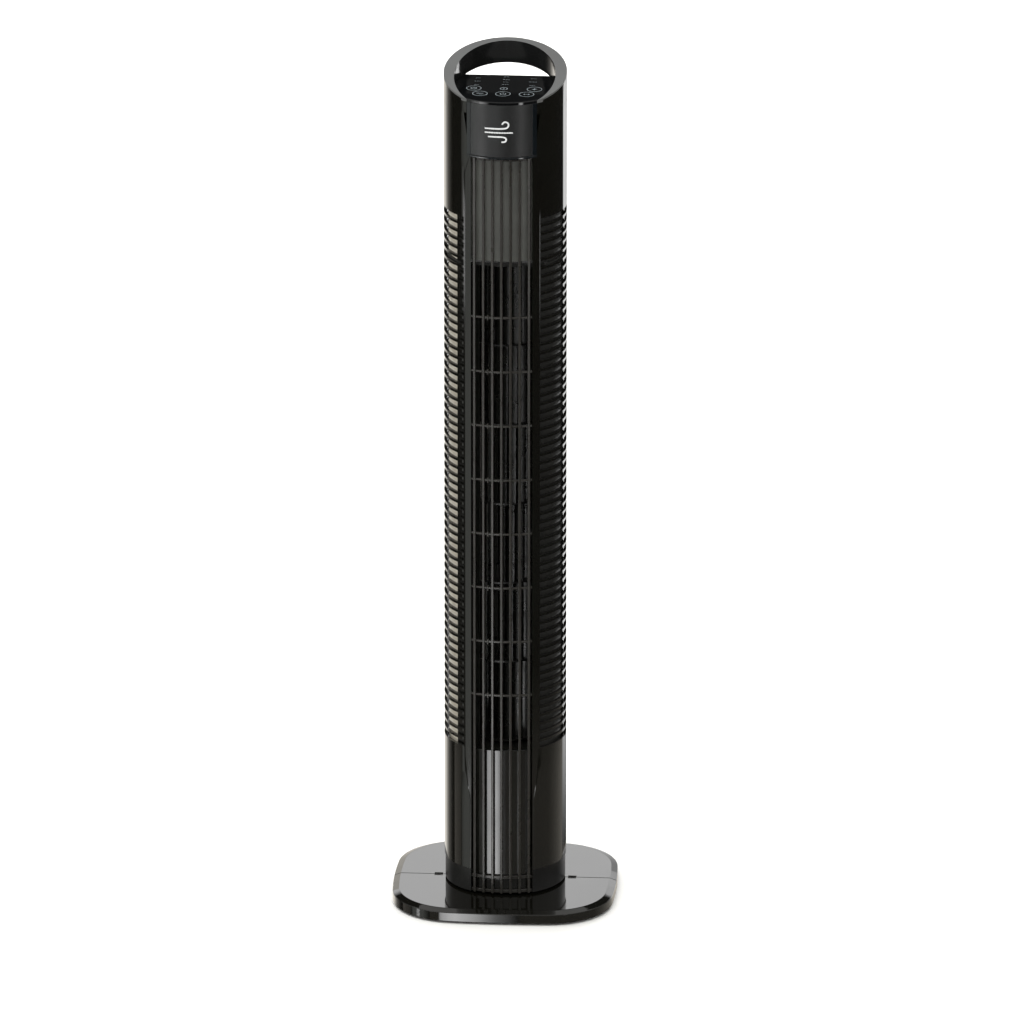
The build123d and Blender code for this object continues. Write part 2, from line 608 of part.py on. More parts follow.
def turntable():
    """Floor of the column with its bearing sleeve and motor posts."""
    plate = disc(COLLAR_RADIUS - COLLAR_WALL - INSERT_GAP, COLUMN_BOTTOM, TURNTABLE_TOP)
    sleeve = SPINDLE_RADIUS + RUNNING_GAP
    plate += disc(sleeve + TURNTABLE_SLEEVE_WALL, COLUMN_BOTTOM, SLEEVE_TOP)
    for x in (-SWEEP_POST_X, SWEEP_POST_X):
        plate += disc(STANDOFF_RADIUS, TURNTABLE_TOP - 0.5, BRACKET_BOTTOM, x, PINION_Y)
        plate -= disc(SCREW_SHANK + SEAT_GAP, BRACKET_BOTTOM - 6, BRACKET_BOTTOM + 1, x, PINION_Y)
    plate -= disc(sleeve, COLUMN_BOTTOM - 1, SLEEVE_TOP + 1)
    plate -= block(-GRILLE_HALF - INSERT_GAP, GRILLE_HALF + INSERT_GAP, -FAR, CROSSBAR_FRONT,
                   COLUMN_BOTTOM - 1, TURNTABLE_TOP + 1)
    for azimuth in COLLAR_SCREW_AZIMUTHS:
        x, y = around(COLLAR_SCREW_RADIUS, azimuth)
        plate -= disc(SCREW_SHANK + 2 * SEAT_GAP, COLUMN_BOTTOM - 1, TURNTABLE_TOP + 1, x, y)
        plate -= disc(SCREW_HEAD + 0.3, COLUMN_BOTTOM - 1, COLUMN_BOTTOM + BASE_SCREW_HEAD, x, y)
    return plate


# ---------------------------------------------------------------- sweep drive
def sweep_bracket():
    """Pressed plate that carries the sweep motor above the gears."""
    reach = SWEEP_POST_X + STANDOFF_RADIUS + 1
    plate = block(-reach, reach, PINION_Y - 8, PINION_Y + 8, BRACKET_BOTTOM, BRACKET_TOP)
    plate = fillet(plate.edges().filter_by(Axis.Z), 5.0)
    plate -= disc(SWEEP_SHAFT_RADIUS + 2.5, BRACKET_BOTTOM - 1, BRACKET_TOP + 1, 0, PINION_Y)
    for x in (-SWEEP_POST_X, SWEEP_POST_X):
        plate -= disc(SCREW_SHANK + 2 * SEAT_GAP, BRACKET_BOTTOM - 1, BRACKET_TOP + 1, x, PINION_Y)
    return plate


def sweep_motor():
    """Reversing synchronous gear motor in its can, with two ears."""
    can = disc(SWEEP_MOTOR_RADIUS, BRACKET_TOP, SWEEP_MOTOR_TOP, 0, PINION_Y)
    can = fillet(can.edges().sort_by(Axis.Z)[-1], 1.5)
    reach = SWEEP_POST_X + STANDOFF_RADIUS
    can += block(-reach, reach, PINION_Y - STANDOFF_RADIUS, PINION_Y + STANDOFF_RADIUS,
                 BRACKET_TOP, BRACKET_TOP + MOTOR_EAR)
    for x in (-SWEEP_POST_X, SWEEP_POST_X):
        can -= disc(SCREW_SHANK + 2 * SEAT_GAP, BRACKET_TOP - 1, BRACKET_TOP + 2, x, PINION_Y)
    bore = SWEEP_SHAFT_RADIUS + RUNNING_GAP
    can -= disc(bore, BRACKET_TOP - 1, BRACKET_TOP + SWEEP_MOTOR_HEIGHT / 2, 0, PINION_Y)
    return can


def sweep_screws():
    """Two screws through the motor's ears into the posts."""
    pieces = []
    for x in (-SWEEP_POST_X, SWEEP_POST_X):
        one = Rot(180, 0, 0) * screw(SCREW_SHANK, SCREW_HEAD, SCREW_HEAD_HEIGHT, 7.0)
        pieces.append(Pos(x, PINION_Y, BRACKET_TOP + MOTOR_EAR + SCREW_HEAD_HEIGHT) * one)
    return group(pieces)


def drive_pinion():
    """Pinion with its hub, in mesh with the fixed gear."""
    pinion = spur_gear(PINION_TEETH, GEAR_BOTTOM + 0.3, GEAR_TOP - 0.3, 180.0 / PINION_TEETH)
    pinion += disc(SWEEP_SHAFT_RADIUS + 1.8, GEAR_TOP - 0.5, BRACKET_BOTTOM - 2)
    pinion -= disc(SWEEP_SHAFT_RADIUS, GEAR_BOTTOM - 1, BRACKET_BOTTOM)
    return Pos(0, PINION_Y, 0) * pinion


def pinion_shaft():
    """Output shaft of the sweep motor."""
    return disc(SWEEP_SHAFT_RADIUS, GEAR_BOTTOM, BRACKET_TOP + SWEEP_MOTOR_HEIGHT / 2 - 0.5, 0, PINION_Y)


# ---------------------------------------------------------------- column shells
def window(half, z0, z1):
    """Opening in the column's front."""
    return block(-half, half, -FAR, RETURN_BACK, z0, z1)


def bottom_collar():
    """Dark ring round the column's foot."""
    collar = tube(COLLAR_RADIUS, COLLAR_RADIUS - COLLAR_WALL, COLUMN_BOTTOM, COLLAR_TOP)
    for azimuth in COLLAR_SCREW_AZIMUTHS:
        x, y = around(COLLAR_SCREW_RADIUS, azimuth)
        boss = disc(COLLAR_BOSS_RADIUS, TURNTABLE_TOP, TURNTABLE_TOP + COLLAR_BOSS_HEIGHT, x, y)
        collar += boss & disc(COLLAR_RADIUS - COLLAR_WALL / 2, COLUMN_BOTTOM, COLLAR_TOP)
        collar -= disc(SCREW_SHANK + SEAT_GAP, TURNTABLE_TOP - 1, TURNTABLE_TOP + 6, x, y)
    collar -= window(WINDOW_HALF, COLUMN_BOTTOM - 1, COLLAR_TOP + 1)
    gland_z = COLUMN_BOTTOM + GLAND_HEIGHT_ABOVE_COLUMN
    collar -= rod_y(GLAND_RADIUS + SEAT_GAP, 0, gland_z, COLLAR_RADIUS - COLLAR_WALL - 4, COLLAR_RADIUS + 4)
    return collar


def collar_screws():
    """Screws that hold the turntable to the collar."""
    pieces = []
    for azimuth in COLLAR_SCREW_AZIMUTHS:
        x, y = around(COLLAR_SCREW_RADIUS, azimuth)
        one = screw(SCREW_SHANK, SCREW_HEAD, BASE_SCREW_HEAD, TURNTABLE_THICKNESS + 5.0 - BASE_SCREW_HEAD)
        pieces.append(Pos(x, y, COLUMN_BOTTOM) * one)
    return group(pieces)


def cord_gland():
    """Flanged bush in the collar's back where a cord would enter."""
    z = COLUMN_BOTTOM + GLAND_HEIGHT_ABOVE_COLUMN
    inside = COLLAR_RADIUS - COLLAR_WALL
    bush = rod_y(GLAND_RADIUS, 0, z, inside - 5, COLLAR_RADIUS)
    flange = rod_y(GLAND_RADIUS + 1.5, 0, z, inside - 2.5, inside - 0.6)
    return bush + flange - rod_y(GLAND_BORE, 0, z, inside - 10, COLLAR_RADIUS + 5)


def vent_level(index):
    """Bottom of one vent slot."""
    return VENT_BOTTOM + index * VENT_PITCH + VENT_BAR / 2


def vent_slots(spans):
    """Cutting tools for every slot over the given azimuth spans."""
    tools = []
    for start, end in spans:
        tool = arc_wall(COLUMN_RADIUS + 2, SHELL_INSIDE - 2, start, end, 0, VENT_SLOT)
        tools += [Pos(0, 0, vent_level(i)) * tool for i in range(VENT_COUNT)]
    return tools


def shell_tube():
    """The whole column wall."""
    return tube(COLUMN_RADIUS, SHELL_INSIDE, SHELL_BOTTOM, SHELL_TOP)


def groove(x0, z0, x1, z1):
    """Shallow line scored in the shell's front between two points seen from the front."""
    length = hypot(x1 - x0, z1 - z0)
    lean = degrees(atan2(x1 - x0, z1 - z0))
    blade = Box(GROOVE_WIDTH, COLUMN_RADIUS, length)
    blade = Pos((x0 + x1) / 2, -COLUMN_RADIUS, (z0 + z1) / 2) * Rot(0, lean, 0) * blade
    skin = tube(COLUMN_RADIUS + 1, COLUMN_RADIUS - GROOVE_DEPTH, SHELL_BOTTOM, SHELL_TOP)
    return blade & skin


def shield_grooves():
    """Lines that bound the smooth strip beside the grille."""
    vent_x = COLUMN_RADIUS * sin(radians(VENT_INNER_AZIMUTH))
    lines = []
    for side in (-1, 1):
        lines.append(groove(side * (WINDOW_HALF + 0.8), SHIELD_TIP, side * vent_x, VENT_BOTTOM))
        lines.append(groove(side * vent_x, VENT_TOP, side * vent_x, SHIELD_HEAD))
        lines.append(groove(side * vent_x, SHIELD_HEAD, side * (WINDOW_HALF + 0.8), GRILLE_TOP))
    return lines


def front_shell():
    """Gloss front moulding with its window, returns, crossbars and side vents."""
    shell = shell_tube() - wedge(SHELL_SPLIT, 360 - SHELL_SPLIT, SHELL_BOTTOM - 1, SHELL_TOP + 1)
    for side in (-1, 1):
        x0, x1 = sorted((side * WINDOW_HALF, side * (WINDOW_HALF + RETURN_WALL)))
        shell += block(x0, x1, -COLUMN_RADIUS, RETURN_BACK, SHELL_BOTTOM, GRILLE_TOP)
    shell &= disc(COLUMN_RADIUS, SHELL_BOTTOM, SHELL_TOP)
    shell -= window(WINDOW_HALF, SHELL_BOTTOM - 1, GRILLE_TOP + 0.6)
    shell -= window(BEZEL_HALF_WIDTH + INSERT_GAP, GRILLE_TOP + 0.6, SHELL_TOP + 1)
    for z0, z1 in CROSSBAR_LEVELS:
        reach = sqrt(SHELL_INSIDE**2 - RETURN_BACK**2) + 0.5
        shell += block(-reach, reach, CROSSBAR_FRONT, RETURN_BACK, z0, z1)
    for z in SHELL_SCREW_LEVELS:
        for x in (-SCREW_X, SCREW_X):
            boss = rod_y(BOSS_RADIUS, x, z, SHELL_BOSS_SPLIT_Y - 22, SHELL_BOSS_SPLIT_Y - JOINT_GAP)
            shell += boss & disc(SHELL_INSIDE + 0.5, z - 10, z + 10)
            shell -= rod_y(SCREW_SHANK + SEAT_GAP, x, z, SHELL_BOSS_SPLIT_Y - SHELL_SCREW_DEPTH - 1,
                           SHELL_BOSS_SPLIT_Y + 1)
    spans = [(VENT_INNER_AZIMUTH, VENT_END_AZIMUTH), (-VENT_END_AZIMUTH, -VENT_INNER_AZIMUTH)]
    shell -= vent_slots(spans)
    shell -= shield_grooves()
    return shell


def rear_shell():
    """Rear moulding with the intake vents and the screw wells."""
    turn = degrees(JOINT_GAP / COLUMN_RADIUS)
    start = SHELL_SPLIT + turn
    shell = shell_tube() & wedge(start, 360 - start, SHELL_BOTTOM - 1, SHELL_TOP + 1)
    for z in SHELL_SCREW_LEVELS:
        for x in (-SCREW_X, SCREW_X):
            boss = rod_y(BOSS_RADIUS + 0.5, x, z, SHELL_BOSS_SPLIT_Y, SHELL_INSIDE)
            shell += boss & disc(SHELL_INSIDE + 0.5, z - 10, z + 10)
            shell -= rod_y(SCREW_HEAD + 0.3, x, z, SHELL_SCREW_SEAT, COLUMN_RADIUS)
            shell -= rod_y(SCREW_SHANK + 2 * SEAT_GAP, x, z, SHELL_BOSS_SPLIT_Y - 1, SHELL_SCREW_SEAT + 1)
    width = (REAR_VENT_END - REAR_VENT_START - (REAR_VENT_GROUPS - 1) * REAR_MULLION) / REAR_VENT_GROUPS
    spans = []
    for i in range(REAR_VENT_GROUPS):
        start = REAR_VENT_START + i * (width + REAR_MULLION)
        spans += [(start, start + width), (360 - start - width, 360 - start)]
    shell -= vent_slots(spans)
    return shell


def liner_notch(start, end):
    """Room round the crossbar over the duct's ceiling."""
    z0, z1 = CROSSBAR_LEVELS[2]
    return block(start, end, -FAR, RETURN_BACK + INSERT_GAP, z0 - INSERT_GAP, z1 + INSERT_GAP)


def side_liners():
    """Closed walls behind the front shell's vents, so that air comes in at the rear only."""
    inner = LINER_RADIUS - LINER_WALL
    spans = [(DUCT_FLOOR_TOP + INSERT_GAP, DUCT_CEILING_BOTTOM - INSERT_GAP),
             (DUCT_CEILING_TOP + INSERT_GAP, VENT_TOP + LINER_RISE)]
    start = VENT_INNER_AZIMUTH + LINER_MARGIN
    pieces = []
    for z0, z1 in spans:
        left = arc_wall(LINER_RADIUS, inner, -LINER_END_AZIMUTH, -start, z0, z1)
        right = arc_wall(LINER_RADIUS, inner, start, LINER_END_AZIMUTH, z0, z1)
        lip = LINER_END_AZIMUTH - LINER_LIP
        right += arc_wall(SHELL_INSIDE - INSERT_GAP, inner, lip, LINER_END_AZIMUTH, z0, z1)
        pieces += [left - liner_notch(-FAR, 0), right - liner_notch(0, FAR)]
    return group(pieces)


def shell_screws():
    """Long screws from the rear shell's wells into the front shell."""
    pieces = []
    length = SHELL_SCREW_SEAT - SHELL_BOSS_SPLIT_Y + SHELL_SCREW_DEPTH
    for z in SHELL_SCREW_LEVELS:
        for x in (-SCREW_X, SCREW_X):
            one = Rot(90, 0, 0) * screw(SCREW_SHANK, SCREW_HEAD, SCREW_HEAD_HEIGHT, length)
            pieces.append(Pos(x, SHELL_SCREW_SEAT + SCREW_HEAD_HEIGHT, z) * one)
    return group(pieces)


# ---------------------------------------------------------------- outlet grille
def rib_places():
    """The grille ribs' places across the front."""
    return [(i - (RIB_COUNT - 1) / 2) * RIB_PITCH for i in range(RIB_COUNT)]


def ribs(z0, z1):
    """Upright ribs between two levels."""
    bars = []
    for x in rib_places():
        x0, x1 = x - RIB_WIDTH / 2, x + RIB_WIDTH / 2
        bars.append(face_slab(FACE_RADIUS, FACE_RADIUS - RIB_DEPTH, x0, x1, z0, z1))
    return bars


def rail(z0):
    """Bar across the ribs' backs at an end of the grille."""
    front = FACE_RADIUS - RAIL_SET_BACK
    return face_slab(front, front - RAIL_DEPTH, -GRILLE_HALF, GRILLE_HALF, z0, z0 + RAIL_HEIGHT)


def front_grille():
    """Ribs tied by thin rings, each ring with a small nub, between two rails."""
    low = FOOT_PARTING + JOINT_GAP / 2
    pieces = ribs(low, GRILLE_TOP)
    outer = FACE_RADIUS - RING_SET_BACK
    pieces.append(rail(low))
    pieces.append(rail(GRILLE_TOP - RAIL_HEIGHT))
    for i in range(RING_COUNT):
        z = RING_FIRST + i * RING_PITCH
        pieces.append(face_slab(outer, outer - RING_DEPTH, -GRILLE_HALF, GRILLE_HALF,
                                z - RING_HEIGHT / 2, z + RING_HEIGHT / 2))
        x = -1.5 * RIB_PITCH
        pieces.append(face_slab(outer + 0.5, outer - RING_DEPTH, x - NUB_WIDTH / 2, x + NUB_WIDTH / 2,
                                z - NUB_HEIGHT / 2, z + NUB_HEIGHT / 2))
    return joined(pieces)


def grille_foot():
    """Short lower piece that carries the ribs' ends."""
    top = FOOT_PARTING - JOINT_GAP / 2
    return joined(ribs(COLUMN_BOTTOM, top) + [rail(COLUMN_BOTTOM)])


def lower_plate():
    """Closed gloss plate behind the ribs, below the outlet."""
    return face_slab(PLATE_FACE, PLATE_BACK, -GRILLE_HALF, GRILLE_HALF, COLUMN_BOTTOM, LOWER_PLATE_TOP)


def upper_plate():
    """Closed plate behind the ribs, above the outlet."""
    return face_slab(PLATE_FACE, PLATE_BACK, -GRILLE_HALF, GRILLE_HALF, UPPER_PLATE_BOTTOM, GRILLE_TOP)


# ---------------------------------------------------------------- air duct
def scroll_centre():
    """Centre of the scroll wall's arc."""
    return (-SCROLL_OFFSET, IMPELLER_Y - SCROLL_OFFSET * 1.5)


def duct_scroll():
    """Rear wall of the blower: an arc round the impeller and a straight run to the outlet."""
    cx, cy = scroll_centre()
    inner = IMPELLER_RADIUS + SCROLL_GAP + SCROLL_OFFSET
    outer = inner + DUCT_WALL
    z0, z1 = DUCT_FLOOR_TOP, DUCT_CEILING_BOTTOM
    wall = arc_wall(outer, inner, SCROLL_START + 90, SCROLL_END + 90, z0, z1, cy, cx)
    a = radians(SCROLL_START)
    end = RETURN_BACK + 0.1
    points = []
    for r in (inner, outer):
        x, y = cx + r * cos(a), cy + r * sin(a)
        points.append((x, y))
        points.append((WINDOW_HALF + OUTLET_MARGIN + (r - inner) / cos(a), end))
    return wall + prism([points[0], points[1], points[3], points[2]], z0, z1)


def duct_tongue():
    """Stabiliser plate with a rounded lip, left of the outlet."""
    lip = DUCT_WALL * 0.75
    x, y = around(IMPELLER_RADIUS + TONGUE_GAP + lip, TONGUE_AZIMUTH, IMPELLER_Y)
    z0, z1 = DUCT_FLOOR_TOP, DUCT_CEILING_BOTTOM
    edge = -WINDOW_HALF - RETURN_WALL
    end = RETURN_BACK + 0.1
    plate = prism([(edge, end), (edge + DUCT_WALL, end), (x + lip * 0.8, y), (x - lip * 0.8, y)], z0, z1)
    return plate + disc(lip, z0, z1, x, y)


def chamber_disc(z0, z1):
    """Round plate that closes the column, set back behind the grille's plates."""
    plate = disc(SHELL_INSIDE - INSERT_GAP, z0, z1)
    return plate - block(-FAR, FAR, -FAR, RETURN_BACK + INSERT_GAP, z0 - 1, z1 + 1)


def standoff_places():
    """Where the motor plate hangs from the duct floor."""
    return [around(MOTOR_SCREW_CIRCLE, a, IMPELLER_Y) for a in (45, 135, 225, 315)]


def duct_floor():
    """Plate under the impeller with the motor's standoffs."""
    plate = chamber_disc(DUCT_FLOOR_BOTTOM, DUCT_FLOOR_TOP)
    for x, y in standoff_places():
        plate += disc(STANDOFF_RADIUS, MOTOR_TOP + MOTOR_PLATE_THICKNESS, DUCT_FLOOR_BOTTOM + 0.5, x, y)
        plate -= disc(SCREW_SHANK + SEAT_GAP, MOTOR_TOP, MOTOR_TOP + 12, x, y)
    return plate - disc(HUB_RADIUS + 2, DUCT_FLOOR_BOTTOM - 1, DUCT_FLOOR_TOP + 1, 0, IMPELLER_Y)


def cushion_radius():
    """Outside of the rubber bearing cushion."""
    return AXLE_RADIUS + RUNNING_GAP + BUSH_WALL + CUSHION_WALL


def duct_ceiling():
    """Plate over the impeller with the seat of the upper bearing."""
    plate = chamber_disc(DUCT_CEILING_BOTTOM, DUCT_CEILING_TOP)
    seat = cushion_radius() + SEAT_GAP
    plate += disc(seat + 2, DUCT_CEILING_BOTTOM, DUCT_CEILING_BOTTOM + BUSH_HEIGHT, 0, IMPELLER_Y)
    plate -= disc(seat, DUCT_CEILING_BOTTOM + SEAT_FLOOR, DUCT_CEILING_TOP + BUSH_HEIGHT, 0, IMPELLER_Y)
    return plate - disc(AXLE_RADIUS + 2, DUCT_CEILING_BOTTOM - 1, DUCT_CEILING_TOP, 0, IMPELLER_Y)


def bearing_cushion():
    """Rubber ring that holds the upper bush."""
    inner = AXLE_RADIUS + RUNNING_GAP + BUSH_WALL + SEAT_GAP
    z0, z1 = DUCT_CEILING_BOTTOM + SEAT_FLOOR, DUCT_CEILING_BOTTOM + BUSH_HEIGHT
    return tube(cushion_radius(), inner, z0, z1, 0, IMPELLER_Y)


def upper_bush():
    """Sintered bush round the impeller's upper axle."""
    inner = AXLE_RADIUS + RUNNING_GAP
    z0 = DUCT_CEILING_BOTTOM + SEAT_FLOOR
    return tube(inner + BUSH_WALL, inner, z0, z0 + BUSH_HEIGHT - SEAT_FLOOR, 0, IMPELLER_Y)


# ---------------------------------------------------------------- impeller
def blade_face():
    """One curved blade in plan."""
    r_in = IMPELLER_RADIUS - BLADE_CHORD
    spots = [(r_in, 0.0), ((r_in + IMPELLER_RADIUS) / 2, BLADE_SWEEP * 0.3),
             (IMPELLER_RADIUS - BLADE_INSET, BLADE_SWEEP)]
    middle = [Vector(r * cos(radians(a)), r * sin(radians(a))) for r, a in spots]
    along = [middle[1] - middle[0], middle[2] - middle[0], middle[2] - middle[1]]
    side = [Vector(-v.Y, v.X).normalized() * (BLADE_THICKNESS / 2) for v in along]
    a = [m + s for m, s in zip(middle, side)]
    b = [m - s for m, s in zip(middle, side)]
    return make_face([ThreePointArc(a[0], a[1], a[2]), Line(a[2], b[2]), ThreePointArc(b[2], b[1], b[0]),
                      Line(b[0], a[0])])


def impeller_segment(index):
    """Disc with its ring of blades."""
    z0 = IMPELLER_BOTTOM + index * SEGMENT_HEIGHT
    inner = 0.0 if index == 0 else IMPELLER_RADIUS - BLADE_CHORD - 2
    ring = disc(IMPELLER_RADIUS, z0, z0 + SEGMENT_DISC)
    if inner:
        ring -= disc(inner, z0 - 1, z0 + SEGMENT_DISC + 1)
    blade = extrude(blade_face(), SEGMENT_HEIGHT - SEGMENT_DISC)
    turn = index * SEGMENT_TWIST
    foot = Pos(0, 0, z0 + SEGMENT_DISC)
    ring += [foot * Rot(0, 0, turn + 360 * i / BLADES) * blade for i in range(BLADES)]
    if index == 0:
        ring += disc(HUB_RADIUS, z0, z0 + HUB_HEIGHT)
        ring -= disc(SHAFT_RADIUS, z0 - 1, z0 + HUB_HEIGHT - 2)
    return Pos(0, IMPELLER_Y, 0) * ring


def impeller_cap():
    """Top disc with the boss of the upper axle."""
    z0 = IMPELLER_TOP - SEGMENT_DISC
    cap = disc(IMPELLER_RADIUS, z0, IMPELLER_TOP) + disc(AXLE_HUB_RADIUS, z0 - AXLE_HUB_HEIGHT, IMPELLER_TOP)
    cap -= disc(AXLE_RADIUS, z0 - AXLE_HUB_HEIGHT + 1, IMPELLER_TOP + 1)
    return Pos(0, IMPELLER_Y, 0) * cap


def upper_axle():
    """Steel stub that turns in the upper bush."""
    z0 = IMPELLER_TOP - SEGMENT_DISC - AXLE_HUB_HEIGHT + 1
    return disc(AXLE_RADIUS, z0, DUCT_CEILING_BOTTOM + BUSH_HEIGHT, 0, IMPELLER_Y)


def motor_shaft():
    """Steel shaft from the lower bush to the impeller's hub."""
    return disc(SHAFT_RADIUS, MOTOR_BOTTOM + 2, IMPELLER_BOTTOM + HUB_HEIGHT - 2, 0, IMPELLER_Y)


def motor_rotor():
    """Squirrel-cage rotor pressed on the shaft."""
    rotor = disc(ROTOR_RADIUS, MOTOR_STATOR_BOTTOM, MOTOR_STATOR_TOP)
    for z0 in (MOTOR_STATOR_BOTTOM - 3, MOTOR_STATOR_TOP):
        rotor += tube(ROTOR_RADIUS - 1, ROTOR_RADIUS - 6, z0, z0 + 3)
    rotor -= disc(SHAFT_RADIUS, MOTOR_STATOR_BOTTOM - 1, MOTOR_STATOR_TOP + 1)
    return Pos(0, IMPELLER_Y, 0) * rotor


# ---------------------------------------------------------------- fan motor
def bolt_holes(z0, z1):
    """Cutting tools for the motor's four long screws."""
    return [disc(SCREW_SHANK + 2 * SEAT_GAP, z0, z1, x, y) for x, y in standoff_places()]


def motor_stator():
    """Laminated ring with its winding slots."""
    bore = ROTOR_RADIUS + AIR_GAP
    ring = tube(MOTOR_RADIUS, bore, MOTOR_STATOR_BOTTOM, MOTOR_STATOR_TOP)
    slot = block(bore + 2, bore + 10, -1.8, 1.8, MOTOR_STATOR_BOTTOM - 1, MOTOR_STATOR_TOP + 1)
    ring -= [Rot(0, 0, 360 * i / STATOR_SLOTS) * slot for i in range(STATOR_SLOTS)]
    return Pos(0, IMPELLER_Y, 0) * ring - bolt_holes(MOTOR_STATOR_BOTTOM - 1, MOTOR_STATOR_TOP + 1)


def motor_windings():
    """End turns above and below the laminations, joined through the slots."""
    bore = ROTOR_RADIUS + AIR_GAP
    low, high = MOTOR_STATOR_BOTTOM - WINDING_HEIGHT, MOTOR_STATOR_TOP + WINDING_HEIGHT
    turns = tube(bore + 11, bore + 1.5, low, MOTOR_STATOR_BOTTOM - SEAT_GAP)
    turns += tube(bore + 11, bore + 1.5, MOTOR_STATOR_TOP + SEAT_GAP, high)
    bar = block(bore + 2.3, bore + 9.7, -1.5, 1.5, low + 1, high - 1)
    turns += [Rot(0, 0, 360 * i / STATOR_SLOTS) * bar for i in range(STATOR_SLOTS)]
    return Pos(0, IMPELLER_Y, 0) * turns


def motor_bell(upper):
    """Cast end bell with a bearing boss and cooling windows."""
    outside = MOTOR_STATOR_TOP if upper else MOTOR_BOTTOM
    z0, z1 = outside, outside + BELL_HEIGHT
    bell = disc(MOTOR_RADIUS, z0, z1)
    cavity0, cavity1 = (z0 - 1, z1 - BELL_WALL) if upper else (z0 + BELL_WALL, z1 + 1)
    bell -= disc(MOTOR_RADIUS - BELL_WALL, cavity0, cavity1)
    boss0, boss1 = (z1 - MOTOR_BUSH_HEIGHT, z1) if upper else (z0, z0 + MOTOR_BUSH_HEIGHT)
    bell += disc(BEARING_BOSS, boss0, boss1)
    bore = SHAFT_RADIUS + RUNNING_GAP + BUSH_WALL + SEAT_GAP
    bell -= disc(bore, z0 - 1, z1 + 1)
    window_cut = arc_wall(MOTOR_RADIUS - 6, BEARING_BOSS + 4, 10, 50, z0 - 1, z1 + 1)
    bell -= [Rot(0, 0, 60 * i) * window_cut for i in range(6)]
    return Pos(0, IMPELLER_Y, 0) * bell - bolt_holes(z0 - 1, z1 + 1)


def motor_bushes():
    """Sintered bush in each end bell."""
    inner = SHAFT_RADIUS + RUNNING_GAP
    levels = (MOTOR_BOTTOM, MOTOR_TOP - MOTOR_BUSH_HEIGHT)
    return group([tube(inner + BUSH_WALL, inner, z, z + MOTOR_BUSH_HEIGHT, 0, IMPELLER_Y) for z in levels])


def motor_plate():
    """Steel plate between the motor and the duct floor's standoffs."""
    reach = MOTOR_SCREW_CIRCLE + STANDOFF_RADIUS + 2
    plate = disc(reach, MOTOR_TOP, MOTOR_TOP + MOTOR_PLATE_THICKNESS, 0, IMPELLER_Y)
    plate -= disc(BEARING_BOSS + 1, MOTOR_TOP - 1, MOTOR_TOP + 4, 0, IMPELLER_Y)
    return plate - bolt_holes(MOTOR_TOP - 1, MOTOR_TOP + 4)


def motor_screws():
    """Long screws up through the bells' rim into the standoffs."""
    pieces = []
    for x, y in standoff_places():
        one = screw(SCREW_SHANK, SCREW_HEAD, SCREW_HEAD_HEIGHT, MOTOR_TOP + 10 - MOTOR_BOTTOM)
        pieces.append(Pos(x, y, MOTOR_BOTTOM - SCREW_HEAD_HEIGHT) * one)
    return group(pieces)


def run_capacitor():
    """Motor capacitor with its two tabs, in front of the motor."""
    width, depth, height = CAPACITOR_SIZE
    y1 = IMPELLER_Y - MOTOR_RADIUS - 0.6
    y0 = y1 - depth
    z0 = SWEEP_MOTOR_TOP + 14
    body = block(-width / 2, width / 2, y0, y1, z0, z0 + height)
    middle = (y0 + y1) / 2
    for x in (-width / 4, width / 4):
        low = (x - TAB_WIDTH / 2, middle - TAB_THICKNESS / 2)
        high = (x + TAB_WIDTH / 2, middle + TAB_THICKNESS / 2)
        body += block(low[0], high[0], low[1], high[1], z0 + height, z0 + height + TAB_HEIGHT)
    return body


# ---------------------------------------------------------------- head
def bar_height(y):
    """Height of the handle bar's underside at y."""
    return BAR_LOWER_REAR - BAR_SLOPE * (WELL_CENTRE_Y + WELL_HALF_DEPTH - y)


def finger_space():
    """Room for the hand behind the panel and under the bar, open to the rear."""
    y0, y1 = PANEL_BACK_Y, COLUMN_RADIUS + 5
    outline = [(y0, HANDLE_FLOOR_TOP), (y1, HANDLE_FLOOR_TOP), (y1, bar_height(y1)), (y0, bar_height(y0))]
    face = make_face(Plane.YZ * Polyline(*outline, close=True))
    return extrude(face, HANDLE_HALF_WIDTH, both=True)


def top_cap():
    """Gloss head: spigot, panel seat, handle recess and the ring's outer wall."""
    spigot = SHELL_INSIDE - INSERT_GAP
    low = HEAD_PARTING - SPIGOT_DEPTH
    cap = (disc(COLUMN_RADIUS, HEAD_PARTING, OVERALL_HEIGHT) & below_rim(TRIM_THICKNESS)) \
        + disc(spigot, low, HEAD_PARTING)
    cap -= well(PANEL_BOTTOM, OVERALL_HEIGHT + 1, TRIM_THICKNESS + SEAT_GAP)
    cavity = disc(spigot - SPIGOT_WALL, low - 1, PANEL_FLOOR_BOTTOM)
    cap -= cavity & block(-FAR, FAR, -FAR, PANEL_BACK_Y - HANDLE_WALL, low - 2, PANEL_TOP)
    below_floor = disc(spigot - SPIGOT_WALL, low - 1, HANDLE_FLOOR_TOP - HANDLE_FLOOR)
    cap -= below_floor
    cap -= well(HANDLE_FLOOR_TOP, OVERALL_HEIGHT) & block(-FAR, FAR, PANEL_BACK_Y, FAR, low, OVERALL_HEIGHT)
    cap -= finger_space()
    front = tube(COLUMN_RADIUS + 2, spigot, HEAD_PARTING - 1, PANEL_BOTTOM)
    half = BEZEL_HALF_WIDTH + INSERT_GAP
    return cap - (front & block(-half, half, -FAR, 0, HEAD_PARTING - 1, PANEL_BOTTOM))


